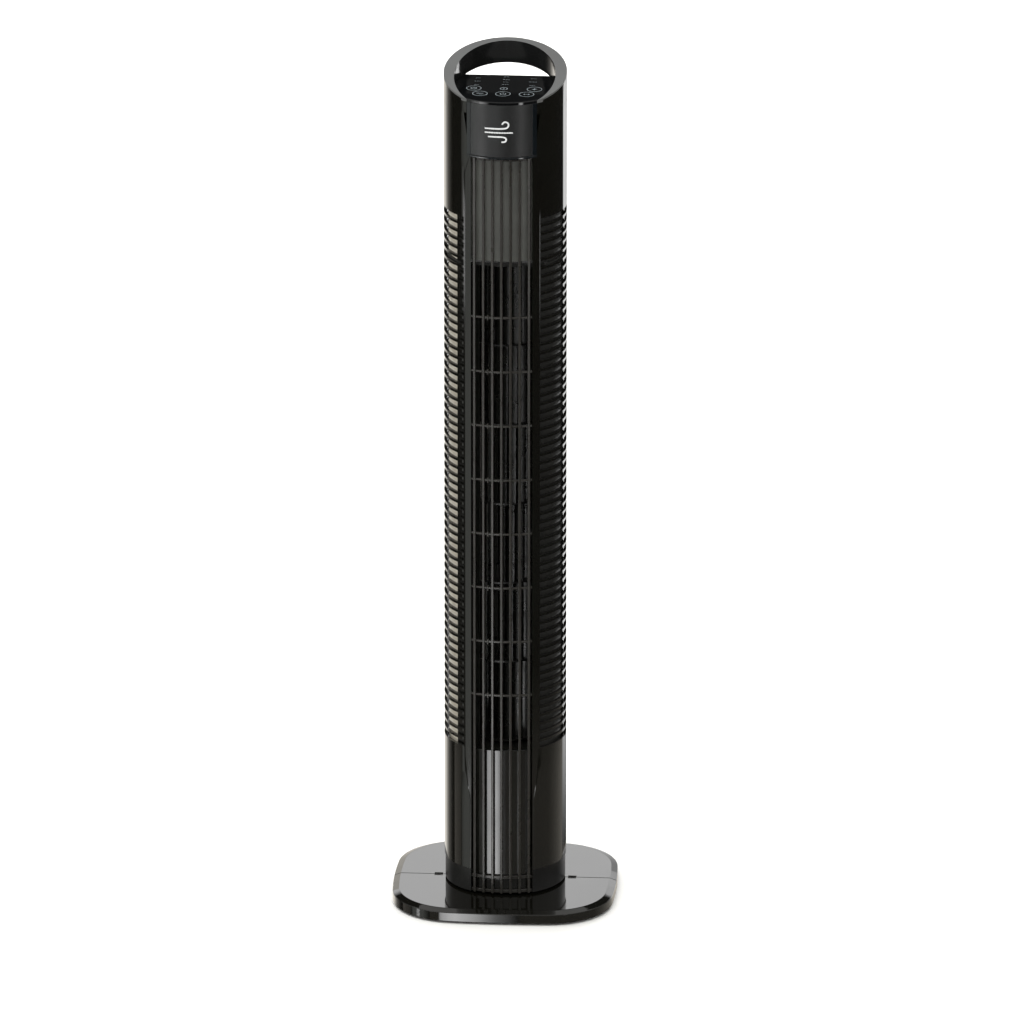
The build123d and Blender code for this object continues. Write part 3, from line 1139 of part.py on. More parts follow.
def handle_ring():
    """Satin ring: the slanting rim face and the well's lining."""
    rim = disc(COLUMN_RADIUS, HEAD_PARTING, OVERALL_HEIGHT) & below_rim()
    rim -= below_rim(TRIM_THICKNESS)
    lining = well(PANEL_BOTTOM, OVERALL_HEIGHT, TRIM_THICKNESS)
    lining = lining & disc(COLUMN_RADIUS, HEAD_PARTING, OVERALL_HEIGHT) & below_rim(TRIM_THICKNESS / 2)
    ring = (rim + lining) - well(HEAD_PARTING, OVERALL_HEIGHT + 1)
    return ring - finger_space()


def control_panel():
    """Level gloss panel with the touch controls printed on it."""
    plate = well(PANEL_BOTTOM, PANEL_TOP, -SEAT_GAP)
    plate &= disc(COLUMN_RADIUS - SEAT_GAP, PANEL_BOTTOM, PANEL_TOP)
    plate &= block(-FAR, FAR, -FAR, PANEL_BACK_Y, PANEL_BOTTOM, PANEL_TOP)
    return chamfer(plate.faces().sort_by(Axis.Z)[-1].edges(), 0.4)


def display_zone(half, z0, z1, proud=0.0):
    """Curved front skin between two levels."""
    skin = tube(COLUMN_RADIUS + proud, COLUMN_RADIUS - DISPLAY_THICKNESS, z0, z1)
    return skin & block(-half, half, -FAR, 0, z0, z1)


def display_panel():
    """Satin curved window over the display board."""
    return display_zone(DISPLAY_HALF_WIDTH, DISPLAY_BOTTOM, PANEL_BOTTOM - SEAT_GAP)


def display_bezel():
    """Gloss bands beside the display, with a lip below it."""
    low = GRILLE_TOP + JOINT_GAP * 2
    frame = display_zone(BEZEL_HALF_WIDTH, low, PANEL_BOTTOM - SEAT_GAP)
    frame -= block(-DISPLAY_HALF_WIDTH - SEAT_GAP, DISPLAY_HALF_WIDTH + SEAT_GAP, -FAR, 0,
                   DISPLAY_BOTTOM - SEAT_GAP, PANEL_TOP)
    return frame + display_zone(BEZEL_HALF_WIDTH, low, low + BEZEL_LIP * 0.7, 0.5)


# ---------------------------------------------------------------- electronics
def control_board():
    """Circuit board that stands behind the upper plate."""
    half = BOARD_WIDTH / 2
    board = block(-half, half, BOARD_Y, BOARD_Y + BOARD_THICKNESS, BOARD_BOTTOM, BOARD_TOP)
    for x in (-half + 4, half - 4):
        for z in (BOARD_BOTTOM + 4, BOARD_TOP - 4):
            board -= rod_y(1.6, x, z, BOARD_Y - 1, BOARD_Y + 3)
    return board


def board_components():
    """Transformer, relays, chip, buzzer and sockets on the board's back."""
    y0 = BOARD_Y + BOARD_THICKNESS
    width, depth, height = TRANSFORMER_SIZE
    z = BOARD_BOTTOM + 8
    pieces = [block(-width / 2, width / 2, y0, y0 + depth, z, z + height)]
    for i in range(3):
        x = -16.0 + i * 12.0
        pieces.append(block(x, x + 9.0, y0, y0 + 10.0, z + height + 3, z + height + 13))
    pieces.append(block(12.0, 20.0, y0, y0 + 2.5, z + height + 16, z + height + 22))
    pieces.append(rod_y(5.0, -12.0, z + height + 21, y0, y0 + 6.0))
    pieces.append(block(-3.0, 8.0, y0, y0 + 6.0, z + height + 17, z + height + 22))
    return group(pieces)


def display_board():
    """Small board with the display's lamps, behind the display panel."""
    y = -sqrt(SHELL_INSIDE**2 - 22.0**2) + 1.0
    board = block(-22, 22, y, y + BOARD_THICKNESS, DISPLAY_BOTTOM + 6, HEAD_PARTING - SPIGOT_DEPTH - 2)
    lamps = []
    for i in range(4):
        x = -12.0 + 8.0 * i
        lamps.append(block(x - 1.5, x + 1.5, y - 1.0, y + 0.1, DISPLAY_BOTTOM + 14, DISPLAY_BOTTOM + 17))
    return joined([board] + lamps)


def touch_board():
    """Board with the touch pads and indicator lamps, under the control panel."""
    top = PANEL_FLOOR_BOTTOM - TOUCH_BOARD_DROP
    reach = PANEL_BACK_Y - HANDLE_WALL - 4
    board = disc(SHELL_INSIDE - SPIGOT_WALL - 6, top - BOARD_THICKNESS, top)
    board &= block(-FAR, FAR, -FAR, reach, top - BOARD_THICKNESS, top)
    for x in (-30.0, 30.0):
        board += disc(3.0, top - 0.1, PANEL_FLOOR_BOTTOM, x, 0.0)
    return board


# ---------------------------------------------------------------- all nodes
PARTS = {
    "base_front_half": base_half(-1),
    "base_rear_half": base_half(1),
    "base_brace": base_brace(),
    "base_screws": base_screws(),
    "rubber_feet": rubber_feet(),
    "seam_clips": seam_clips(),
    "pedestal": pedestal(),
    "slip_ring": slip_ring(),
    "fixed_gear": fixed_gear(),
    "lock_nut": lock_nut(),
    "turntable": turntable(),
    "bottom_collar": bottom_collar(),
    "collar_screws": collar_screws(),
    "cord_gland": cord_gland(),
    "sweep_bracket": sweep_bracket(),
    "sweep_motor": sweep_motor(),
    "sweep_screws": sweep_screws(),
    "drive_pinion": drive_pinion(),
    "pinion_shaft": pinion_shaft(),
    "front_shell": front_shell(),
    "rear_shell": rear_shell(),
    "side_liners": side_liners(),
    "shell_screws": shell_screws(),
    "front_grille": front_grille(),
    "grille_foot": grille_foot(),
    "lower_plate": lower_plate(),
    "upper_plate": upper_plate(),
    "duct_scroll": duct_scroll(),
    "duct_tongue": duct_tongue(),
    "duct_floor": duct_floor(),
    "duct_ceiling": duct_ceiling(),
    "bearing_cushion": bearing_cushion(),
    "upper_bush": upper_bush(),
    "impeller_cap": impeller_cap(),
    "upper_axle": upper_axle(),
    "motor_shaft": motor_shaft(),
    "motor_rotor": motor_rotor(),
    "motor_stator": motor_stator(),
    "motor_windings": motor_windings(),
    "motor_lower_bell": motor_bell(False),
    "motor_upper_bell": motor_bell(True),
    "motor_bushes": motor_bushes(),
    "motor_plate": motor_plate(),
    "motor_screws": motor_screws(),
    "run_capacitor": run_capacitor(),
    "top_cap": top_cap(),
    "handle_ring": handle_ring(),
    "control_panel": control_panel(),
    "display_panel": display_panel(),
    "display_bezel": display_bezel(),
    "control_board": control_board(),
    "board_components": board_components(),
    "display_board": display_board(),
    "touch_board": touch_board(),
}
for segment in range(SEGMENTS):
    PARTS[f"impeller_segment_{segment + 1}"] = impeller_segment(segment)

os.makedirs("parts", exist_ok=True)
for name, part in PARTS.items():
    export_step(part, f"parts/{name}.step")
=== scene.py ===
"""Looks of the tower fan: finishes, detailed mouldings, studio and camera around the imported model.

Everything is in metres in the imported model's frame: +Z up, front towards -Y. Azimuths are in
degrees, counted from the front and positive towards +X, which is a right-handed turn about +Z.
"""
import logging
from collections.abc import Callable, Iterable, Sequence
from dataclasses import dataclass
from enum import Enum
from math import asin, cos, degrees, pi, radians, sin, sqrt

import bmesh
import bpy
from mathutils import Matrix, Vector


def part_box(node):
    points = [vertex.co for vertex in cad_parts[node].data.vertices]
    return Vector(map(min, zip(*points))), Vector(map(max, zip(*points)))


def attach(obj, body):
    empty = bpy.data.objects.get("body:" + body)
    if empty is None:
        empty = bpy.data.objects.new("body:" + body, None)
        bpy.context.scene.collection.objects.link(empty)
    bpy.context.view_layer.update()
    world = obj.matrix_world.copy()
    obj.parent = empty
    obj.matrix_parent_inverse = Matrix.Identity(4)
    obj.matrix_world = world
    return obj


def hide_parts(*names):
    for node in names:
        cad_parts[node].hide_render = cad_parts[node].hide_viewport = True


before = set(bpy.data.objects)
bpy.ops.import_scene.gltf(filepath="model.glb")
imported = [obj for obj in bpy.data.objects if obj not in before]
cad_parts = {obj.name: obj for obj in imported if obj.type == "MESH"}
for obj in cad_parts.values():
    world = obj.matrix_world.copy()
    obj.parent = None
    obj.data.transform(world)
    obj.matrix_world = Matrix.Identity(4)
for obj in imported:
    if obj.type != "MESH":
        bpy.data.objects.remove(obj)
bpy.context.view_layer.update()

MM = 0.001
AXIS = Vector((0.0, 0.0, 1.0))
CAMERA_AZIMUTH = 4.0
LINER_WALL = 1.5 * MM
CEILING_THICKNESS = 3.0 * MM

Materials = dict[str, bpy.types.Material]
Tree = bpy.types.NodeTree
Socket = bpy.types.NodeSocket
Mesh = bmesh.types.BMesh
Vert = bmesh.types.BMVert
Edge = bmesh.types.BMEdge
Face = bmesh.types.BMFace
Stroke = tuple[Sequence[tuple[float, float]], bool]

log = logging.getLogger("tower_fan")


class Body(Enum):
    """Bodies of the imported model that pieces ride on."""

    BASE = "base"
    COLUMN = "column"


class Grain(Enum):
    """How a surface was made, which sets the pattern of its fine relief."""

    POLISHED = "polished mould: slow waves only"
    ERODED = "spark-eroded mould: even fine pits"
    CAST = "cast or sintered: rough cells"
    DRAWN = "rolled or ground: fine lines round the axis"
    LEAVES = "stacked sheets or wound wire: even level lines"


# ---------------------------------------------------------------- shader helpers
def linear(colour: str) -> tuple[float, float, float, float]:
    """Turns an sRGB hex colour into linear RGBA.

    Args:
        colour: "#rrggbb".

    Returns:
        Red, green, blue and a full alpha.
    """
    parts = [int(colour[i:i + 2], 16) / 255 for i in (1, 3, 5)]
    light = [p / 12.92 if p <= 0.04045 else ((p + 0.055) / 1.055) ** 2.4 for p in parts]
    return (light[0], light[1], light[2], 1.0)


def node(tree: Tree, kind: str, settings: dict | None = None, links: dict | None = None) -> bpy.types.Node:
    """Adds one node with its settings and incoming links.

    Args:
        tree: Node tree to add to.
        kind: Node type.
        settings: Values by property or input name.
        links: Output sockets by the name of the input that they feed.

    Returns:
        The new node.
    """
    made = tree.nodes.new(kind)
    for name, value in (settings or {}).items():
        if name in made.inputs:
            made.inputs[name].default_value = value
        else:
            setattr(made, name, value)
    for name, socket in (links or {}).items():
        tree.links.new(socket, made.inputs[name])
    return made


@dataclass(frozen=True)
class Finish:
    """One real material with the surface that its making gives it.

    Attributes:
        name: Material name.
        colour: Main tone, sRGB hex.
        shade: Tone that the colour drifts to in patches, sRGB hex.
        roughness: Middle roughness.
        spread: How far the roughness wanders either way.
        grain: Kind of fine relief.
        grain_mm: Spacing of the relief.
        relief_mm: Height of the relief.
        drift_mm: Size of the patches of tone and roughness.
        metallic: 1 for bare metal.
        ior: Index of refraction of a dielectric.
        coat: Weight of a clear top layer.
        glow: Share of light that goes below the surface.
    """

    name: str
    colour: str
    shade: str
    roughness: float
    spread: float = 0.03
    grain: Grain = Grain.ERODED
    grain_mm: float = 0.8
    relief_mm: float = 0.01
    drift_mm: float = 30.0
    metallic: float = 0.0
    ior: float = 1.5
    coat: float = 0.0
    glow: float = 0.0

    def relief(self, tree: Tree, place: Socket) -> Socket:
        """Adds the pattern of the fine relief.

        Args:
            tree: Node tree to add to.
            place: Object coordinates in metres.

        Returns:
            Socket with the relief's height from 0 to 1.
        """
        pitch = 1.0 / (self.grain_mm * MM)
        if self.grain is Grain.POLISHED:
            return node(tree, "ShaderNodeTexNoise", {"Scale": pitch, "Detail": 1.0, "Roughness": 0.3},
                        {"Vector": place}).outputs["Fac"]
        if self.grain is Grain.CAST:
            return node(tree, "ShaderNodeTexVoronoi", {"Scale": pitch, "feature": "SMOOTH_F1"},
                        {"Vector": place}).outputs["Distance"]
        if self.grain is Grain.DRAWN:
            flat = node(tree, "ShaderNodeMapping", {"Scale": (0.12, 0.12, 1.0)}, {"Vector": place})
            return node(tree, "ShaderNodeTexNoise", {"Scale": pitch, "Detail": 2.0},
                        {"Vector": flat.outputs["Vector"]}).outputs["Fac"]
        if self.grain is Grain.LEAVES:
            # A band wave repeats every pi / 10 of its scaled coordinate.
            return node(tree, "ShaderNodeTexWave",
                        {"Scale": pitch * pi / 10, "bands_direction": "Z", "Distortion": 0.4},
                        {"Vector": place}).outputs["Fac"]
        return node(tree, "ShaderNodeTexNoise", {"Scale": pitch, "Detail": 3.0, "Roughness": 0.6},
                    {"Vector": place}).outputs["Fac"]

    def build(self) -> bpy.types.Material:
        """Makes the material.

        Returns:
            A material with tone, roughness and relief that vary over the surface.
        """
        material = bpy.data.materials.new(self.name)
        material.use_nodes = True
        tree = material.node_tree
        shader = tree.nodes["Principled BSDF"]
        shader.inputs["Metallic"].default_value = self.metallic
        if not self.metallic:
            shader.inputs["IOR"].default_value = self.ior
        shader.inputs["Coat Weight"].default_value = self.coat
        shader.inputs["Coat Roughness"].default_value = 0.04
        shader.inputs["Subsurface Weight"].default_value = self.glow
        shader.inputs["Subsurface Scale"].default_value = 1.5 * MM
        place = node(tree, "ShaderNodeTexCoord").outputs["Object"]
        drift = node(tree, "ShaderNodeTexNoise", {"Scale": 1.0 / (self.drift_mm * MM), "Detail": 3.0},
                     {"Vector": place}).outputs["Fac"]
        tone = node(tree, "ShaderNodeValToRGB", links={"Fac": drift})
        low, high = tone.color_ramp.elements
        low.position, low.color = 0.35, linear(self.shade)
        high.position, high.color = 0.65, linear(self.colour)
        rough = node(tree, "ShaderNodeMapRange",
                     {"From Min": 0.3, "From Max": 0.7, "To Min": self.roughness - self.spread,
                      "To Max": self.roughness + self.spread}, {"Value": drift})
        bump = node(tree, "ShaderNodeBump", {"Strength": 1.0, "Distance": self.relief_mm * MM},
                    {"Height": self.relief(tree, place)})
        tree.links.new(tone.outputs["Color"], shader.inputs["Base Color"])
        tree.links.new(rough.outputs["Result"], shader.inputs["Roughness"])
        tree.links.new(bump.outputs["Normal"], shader.inputs["Normal"])
        return material


FINISHES: dict[str, Finish] = {
    # Polished ABS: near-black with a warm cast, a clear mirror that the cooling mould left wavy.
    "gloss_shell": Finish("High-gloss black ABS, polished mould", "#0e0e0b", "#0c0b08", 0.06, 0.02,
                          Grain.POLISHED, 26.0, 0.02, 60.0, ior=1.54),
    # Cast acrylic: the deepest black on the fan, dead flat.
    "panel_gloss": Finish("Black acrylic, polished", "#08090a", "#060708", 0.05, 0.02,
                          Grain.POLISHED, 40.0, 0.006, 60.0, ior=1.49),
    # Smoked polycarbonate with a soft film: light spreads into a wide pale band.
    "display_window": Finish("Smoked polycarbonate, satin film", "#1c1d1e", "#191a1b", 0.36, 0.03,
                             Grain.ERODED, 0.6, 0.004, 24.0, ior=1.58),
    # Gloss polycarbonate: black with a blue cast beside the satin window.
    "bezel_gloss": Finish("Blue-black polycarbonate, gloss", "#0d1216", "#0b0f13", 0.1, 0.03,
                          Grain.POLISHED, 18.0, 0.008, 30.0, ior=1.58),
    # Spark-eroded ABS: a fine even tooth, so the rim is one mid-grey.
    "satin_ring": Finish("Dark grey ABS, spark-eroded", "#565757", "#515252", 0.46, 0.04,
                         Grain.ERODED, 0.7, 0.012, 22.0, ior=1.54),
    "satin_collar": Finish("Black ABS, spark-eroded", "#0b0b0a", "#090908", 0.35, 0.05,
                           Grain.ERODED, 0.7, 0.012, 22.0, ior=1.54),
    # Semi-gloss ABS with a brown cast: each rib shows a soft edge light.
    "grille_plastic": Finish("Grey-brown ABS, semi-gloss", "#2a2824", "#25231f", 0.3, 0.05,
                             Grain.ERODED, 0.9, 0.008, 26.0, ior=1.54),
    "plate_gloss": Finish("Black ABS, gloss plate", "#191916", "#151512", 0.13, 0.03,
                          Grain.POLISHED, 14.0, 0.01, 40.0, ior=1.54),
    # The same moulding above the outlet, left as the tool was textured, and painted a lighter grey than the
    # gloss plate below: a painted sheen.
    "plate_painted_sheen": Finish("Grey-black ABS, fine texture, painted sheen", "#5e5f5b", "#565753", 0.42, 0.04,
                          Grain.ERODED, 0.8, 0.008, 30.0, ior=1.54),
    # The well's lining: the same ABS against a polished core, so it mirrors the panel, painted darker than
    # the rim as painted shade inside the well.
    "ring_gloss_painted_shade": Finish("Dark grey ABS, polished core, painted shade", "#191a1a", "#161717", 0.12, 0.03,
                         Grain.POLISHED, 20.0, 0.01, 30.0, ior=1.54),
    # ABS of the left liner, painted cream as painted light seen through the left vents, so the vents before
    # it stand out dark.
    "liner_pale": Finish("Cream ABS, painted light", "#ece6d8", "#ddd6c6", 0.34, 0.05,
                         Grain.ERODED, 0.9, 0.01, 16.0, ior=1.54),
    # Electroplated sheet: cool and cloudy, with the rolling lines under the zinc.
    "zinc_steel": Finish("Sheet steel, zinc plated", "#b9bcbf", "#a3a8ac", 0.32, 0.08,
                         Grain.DRAWN, 0.8, 0.006, 9.0, 1.0),
    "screw_steel": Finish("Screw steel, zinc plated", "#a9abac", "#8f9294", 0.3, 0.08,
                          Grain.DRAWN, 0.5, 0.008, 4.0, 1.0),
    # Moulded rubber: matt, with a dusty bloom.
    "foot_rubber": Finish("Black rubber, moulded", "#1b1b1b", "#232322", 0.78, 0.08,
                          Grain.ERODED, 0.8, 0.03, 8.0, ior=1.52),
    "gland_rubber": Finish("Black rubber, moulded soft", "#171717", "#1f1f1e", 0.7, 0.08,
                           Grain.ERODED, 0.8, 0.02, 6.0, ior=1.52),
    # Polypropylene: waxy and slightly cloudy.
    "dark_plastic": Finish("Black polypropylene, moulded", "#161615", "#1c1c1b", 0.42, 0.07,
                           Grain.ERODED, 1.0, 0.015, 12.0, ior=1.49),
    # Acetal: milky white that lets light a little way in.
    "white_plastic": Finish("Natural acetal, moulded", "#ddd9cc", "#d2cdbd", 0.38, 0.06,
                            Grain.ERODED, 1.2, 0.01, 10.0, ior=1.48, glow=0.25),
    "motor_can": Finish("Deep-drawn steel can, plated", "#b4b4ae", "#9c9c97", 0.28, 0.07,
                        Grain.DRAWN, 0.7, 0.006, 10.0, 1.0),
    # Ground steel: bright, with hair-fine rings.
    "shaft_steel": Finish("Ground steel shaft", "#c3c3c4", "#b2b3b5", 0.18, 0.05,
                          Grain.DRAWN, 0.4, 0.004, 6.0, 1.0),
    "duct_plastic": Finish("Dark grey polypropylene, moulded", "#22221f", "#1d1d1a", 0.45, 0.07,
                           Grain.ERODED, 1.1, 0.015, 18.0, ior=1.49),
    # Sintered bronze: dull gold with open pores that hold the oil.
    "bronze": Finish("Bronze, sintered", "#a07a45", "#7d5c31", 0.46, 0.08,
                     Grain.CAST, 0.6, 0.03, 3.0, 1.0),
    # Glass-filled AS: dark, with a faint sparkle along each blade.
    "impeller_plastic": Finish("Glass-filled AS, moulded", "#141413", "#1a1a18", 0.3, 0.06,
                               Grain.ERODED, 0.7, 0.01, 14.0, ior=1.56),
    # Stamped sheets in a stack: a dark steel edge with a line for each leaf.
    "lamination_steel": Finish("Silicon steel, stacked sheets", "#777879", "#5c5c5d", 0.4, 0.08,
                               Grain.LEAVES, 0.7, 0.12, 7.0, 1.0),
    # Enamelled wire in turns: copper under a clear lacquer.
    "copper_wire": Finish("Copper wire, enamelled", "#b5672f", "#8d4a20", 0.3, 0.06,
                          Grain.LEAVES, 0.9, 0.3, 5.0, 1.0, coat=0.6),
    # Die casting: bright but grainy where the melt chilled.
    "cast_bell": Finish("Aluminium, die cast", "#b3b4b4", "#9d9e9f", 0.42, 0.07,
                        Grain.CAST, 1.1, 0.02, 9.0, 1.0),
    "capacitor_case": Finish("White polypropylene case", "#d8d6cc", "#cfccc0", 0.36, 0.05,
                             Grain.ERODED, 1.0, 0.01, 12.0, ior=1.49),
    # Solder mask: green lacquer over the glass weave.
    "circuit_board": Finish("Glass laminate, green mask", "#1d5a35", "#17492b", 0.3, 0.05,
                            Grain.LEAVES, 1.2, 0.012, 5.0, ior=1.55, coat=0.4),
    "component_black": Finish("Black epoxy, moulded", "#171719", "#101012", 0.5, 0.08,
                              Grain.ERODED, 0.8, 0.012, 5.0, ior=1.55),
    # Screen print: a thin cool-white film.
    "panel_ink": Finish("Grey screen-printed ink", "#8d979b", "#7f898d", 0.5, 0.05,
                        Grain.ERODED, 0.5, 0.003, 4.0, ior=1.5),
    "mark_ink": Finish("White screen-printed ink", "#e9ebec", "#dcdfe0", 0.5, 0.05,
                       Grain.ERODED, 0.5, 0.003, 4.0, ior=1.5),
}


# ---------------------------------------------------------------- mesh helpers
def around(radius: float, azimuth: float, z: float = 0.0) -> Vector:
    """Point at a distance from the column's axis, at an azimuth in degrees."""
    return Vector((radius * sin(radians(azimuth)), -radius * cos(radians(azimuth)), z))


def azimuth_of(place: Vector) -> float:
    """Azimuth of a place in degrees, either side of the front alike."""
    return abs(degrees(Vector((0.0, -1.0)).angle_signed(Vector((place.x, place.y)), 0.0)))


def verts_of(items: Iterable) -> list[Vert]:
    """Vertices among some elements of a mesh."""
    return [item for item in items if isinstance(item, Vert)]


def run_through(bm: Mesh, points: Iterable[Vector], closed: bool = False) -> list:
    """Starts a shape from a few points.

    Args:
        bm: Mesh to add to.
        points: Corners in order.
        closed: Whether the last corner joins the first.

    Returns:
        The vertices and the edges between them.
    """
    verts = [bm.verts.new(p) for p in points]
    pairs = list(zip(verts, verts[1:])) + ([(verts[-1], verts[0])] if closed else [])
    return verts + [bm.edges.new(pair) for pair in pairs]


def sweep(bm: Mesh, run: list, angle: float, steps: int, centre: Vector | None = None) -> list:
    """Spins a run of edges about an upright axis.

    Args:
        bm: Mesh that holds the run.
        run: Vertices and edges to spin.
        angle: Turn in degrees, positive towards +X from the front.
        steps: Number of faces along the turn.
        centre: A point on the axis, or None for the column's own.

    Returns:
        The run at the far end.
    """
    made = bmesh.ops.spin(bm, geom=run, cent=centre or Vector(), axis=AXIS, dvec=Vector(),
                          angle=radians(angle), steps=steps, use_merge=False,
                          use_normal_flip=False, use_duplicate=False)
    return made["geom_last"]


def curved_bar(bm: Mesh, radii: tuple[float, float], levels: tuple[float, float], start: float, turn: float,
               steps: int, centre: Vector | None = None) -> None:
    """Adds a closed bar of rectangular section that follows an arc.

    Args:
        bm: Mesh to add to.
        radii: Outside and inside radius.
        levels: Lower and upper level.
        start: Azimuth where it starts.
        turn: Angle that it covers.
        steps: Number of faces along it.
        centre: The arc's centre, or None for the column's axis.
    """
    (outer, inner), (low, high) = radii, levels
    corners = ((outer, low), (outer, high), (inner, high), (inner, low))
    run = run_through(bm, [(centre or Vector()) + around(r, start, z) for r, z in corners], closed=True)
    bm.faces.new(verts_of(run))
    bm.faces.new(verts_of(sweep(bm, run, turn, steps, centre)))


def face_outwards(bm: Mesh) -> None:
    """Makes an open sheet's faces agree and look away from the column's axis."""
    bmesh.ops.recalc_face_normals(bm, faces=bm.faces)
    bm.faces.ensure_lookup_table()
    middle = bm.faces[0].calc_center_median()
    if bm.faces[0].normal.dot(Vector((middle.x, middle.y, 0.0))) <= 0.0:
        bmesh.ops.reverse_faces(bm, faces=bm.faces)


def box_between(bm: Mesh, low: Vector, high: Vector) -> list[Vert]:
    """Adds a box between two corners and returns its vertices."""
    size = high - low
    place = Matrix.Translation((low + high) / 2) @ Matrix.Diagonal((*size, 1.0))
    return bmesh.ops.create_cube(bm, size=1.0, matrix=place)["verts"]


def place_piece(bm: Mesh, name: str, body: Body, finish: str,
                materials: Materials, stands_for: Sequence[str] = ()) -> bpy.types.Object:
    """Turns a mesh into a finished piece.

    Args:
        bm: The piece's mesh, which is used up.
        name: Piece name.
        body: Body that it rides on.
        finish: Its finish, by slot.
        materials: Built materials by slot.
        stands_for: CAD nodes that it replaces.

    Returns:
        The piece, smooth-shaded.
    """
    mesh = bpy.data.meshes.new(name)
    bm.to_mesh(mesh)
    bm.free()
    mesh.shade_smooth()
    piece = bpy.data.objects.new(name, mesh)
    bpy.context.scene.collection.objects.link(piece)
    mesh.materials.append(materials[finish])
    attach(piece, body.value)
    if stands_for:
        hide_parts(*stands_for)
    log.info("%s: %d faces on %s", name, len(mesh.polygons), body.value)
    return piece


def round_edges(piece: bpy.types.Object, width_mm: float, segments: int = 2, angle: float = 38.0) -> None:
    """Rounds a piece's sharp edges and keeps its flats flat.

    Args:
        piece: The piece.
        width_mm: Width of the rounding.
        segments: Faces across it.
        angle: Sharpest fold, in degrees, that stays as it is.
    """
    bevel = piece.modifiers.new("rounding", "BEVEL")
    bevel.width = width_mm * MM
    bevel.segments = segments
    bevel.limit_method = "ANGLE"
    bevel.angle_limit = radians(angle)
    bevel.harden_normals = True
    bevel.use_clamp_overlap = True


def add_moulding(bm: Mesh, source: str, slot: str, edge_mm: float, materials: Materials,
                 name: str | None = None, finish: str | None = None) -> None:
    """Sets the faces' normals, places and rounds a moulding of the column.

    Args:
        bm: The moulding's mesh, which is used up.
        source: CAD node that it replaces.
        slot: Its slot.
        edge_mm: Rounding of its edges.
        materials: Built materials by slot.
        name: Its name, or None for one made from the node's.
        finish: Its finish, or None for the slot's own.
    """
    bmesh.ops.recalc_face_normals(bm, faces=bm.faces)
    piece = place_piece(bm, name or source + "_moulding", Body.COLUMN, finish or slot, materials, [source])
    round_edges(piece, edge_mm)


@dataclass
class Moulding:
    """A CAD node shown as a copy with rounded edges.

    Attributes:
        source: CAD node.
        body: Body that it rides on.
        finish: Its slot.
        edge_mm: Rounding of its edges.
        segments: Faces across the rounding.
        inner_painted_shade_finish: Finish of the upright faces inside the moulding, a darker copy painted as
            shade, or None for one finish all over.
        crease: Sharpest fold, in degrees, that shades as one surface.
    """

    source: str
    body: Body
    finish: str
    edge_mm: float = 0.3
    segments: int = 2
    inner_painted_shade_finish: str | None = None
    crease: float = 15.0

    def build(self, materials: Materials) -> bpy.types.Object:
        """Copies, cleans and rounds the node, and returns the piece."""
        bm = bmesh.new()
        bm.from_mesh(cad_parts[self.source].data)
        bmesh.ops.remove_doubles(bm, verts=bm.verts, dist=0.002 * MM)
        bmesh.ops.dissolve_limit(bm, angle_limit=radians(0.4), verts=bm.verts, edges=bm.edges,
                                 use_dissolve_boundaries=False)
        # Upright faces inside the moulding can take a darker copy of the finish: painted shade.
        for face in bm.faces:
            middle = face.calc_center_median()
            inwards = face.normal.x * middle.x + face.normal.y * middle.y < 0.0
            face.material_index = 1 if self.inner_painted_shade_finish and inwards and abs(face.normal.z) < 0.5 else 0
        piece = place_piece(bm, self.source + "_moulding", self.body, self.finish, materials, [self.source])
        if self.inner_painted_shade_finish:
            piece.data.materials.append(materials[self.inner_painted_shade_finish])
        piece.data.set_sharp_from_angle(angle=radians(self.crease))
        round_edges(piece, self.edge_mm, self.segments, self.crease)
        return piece


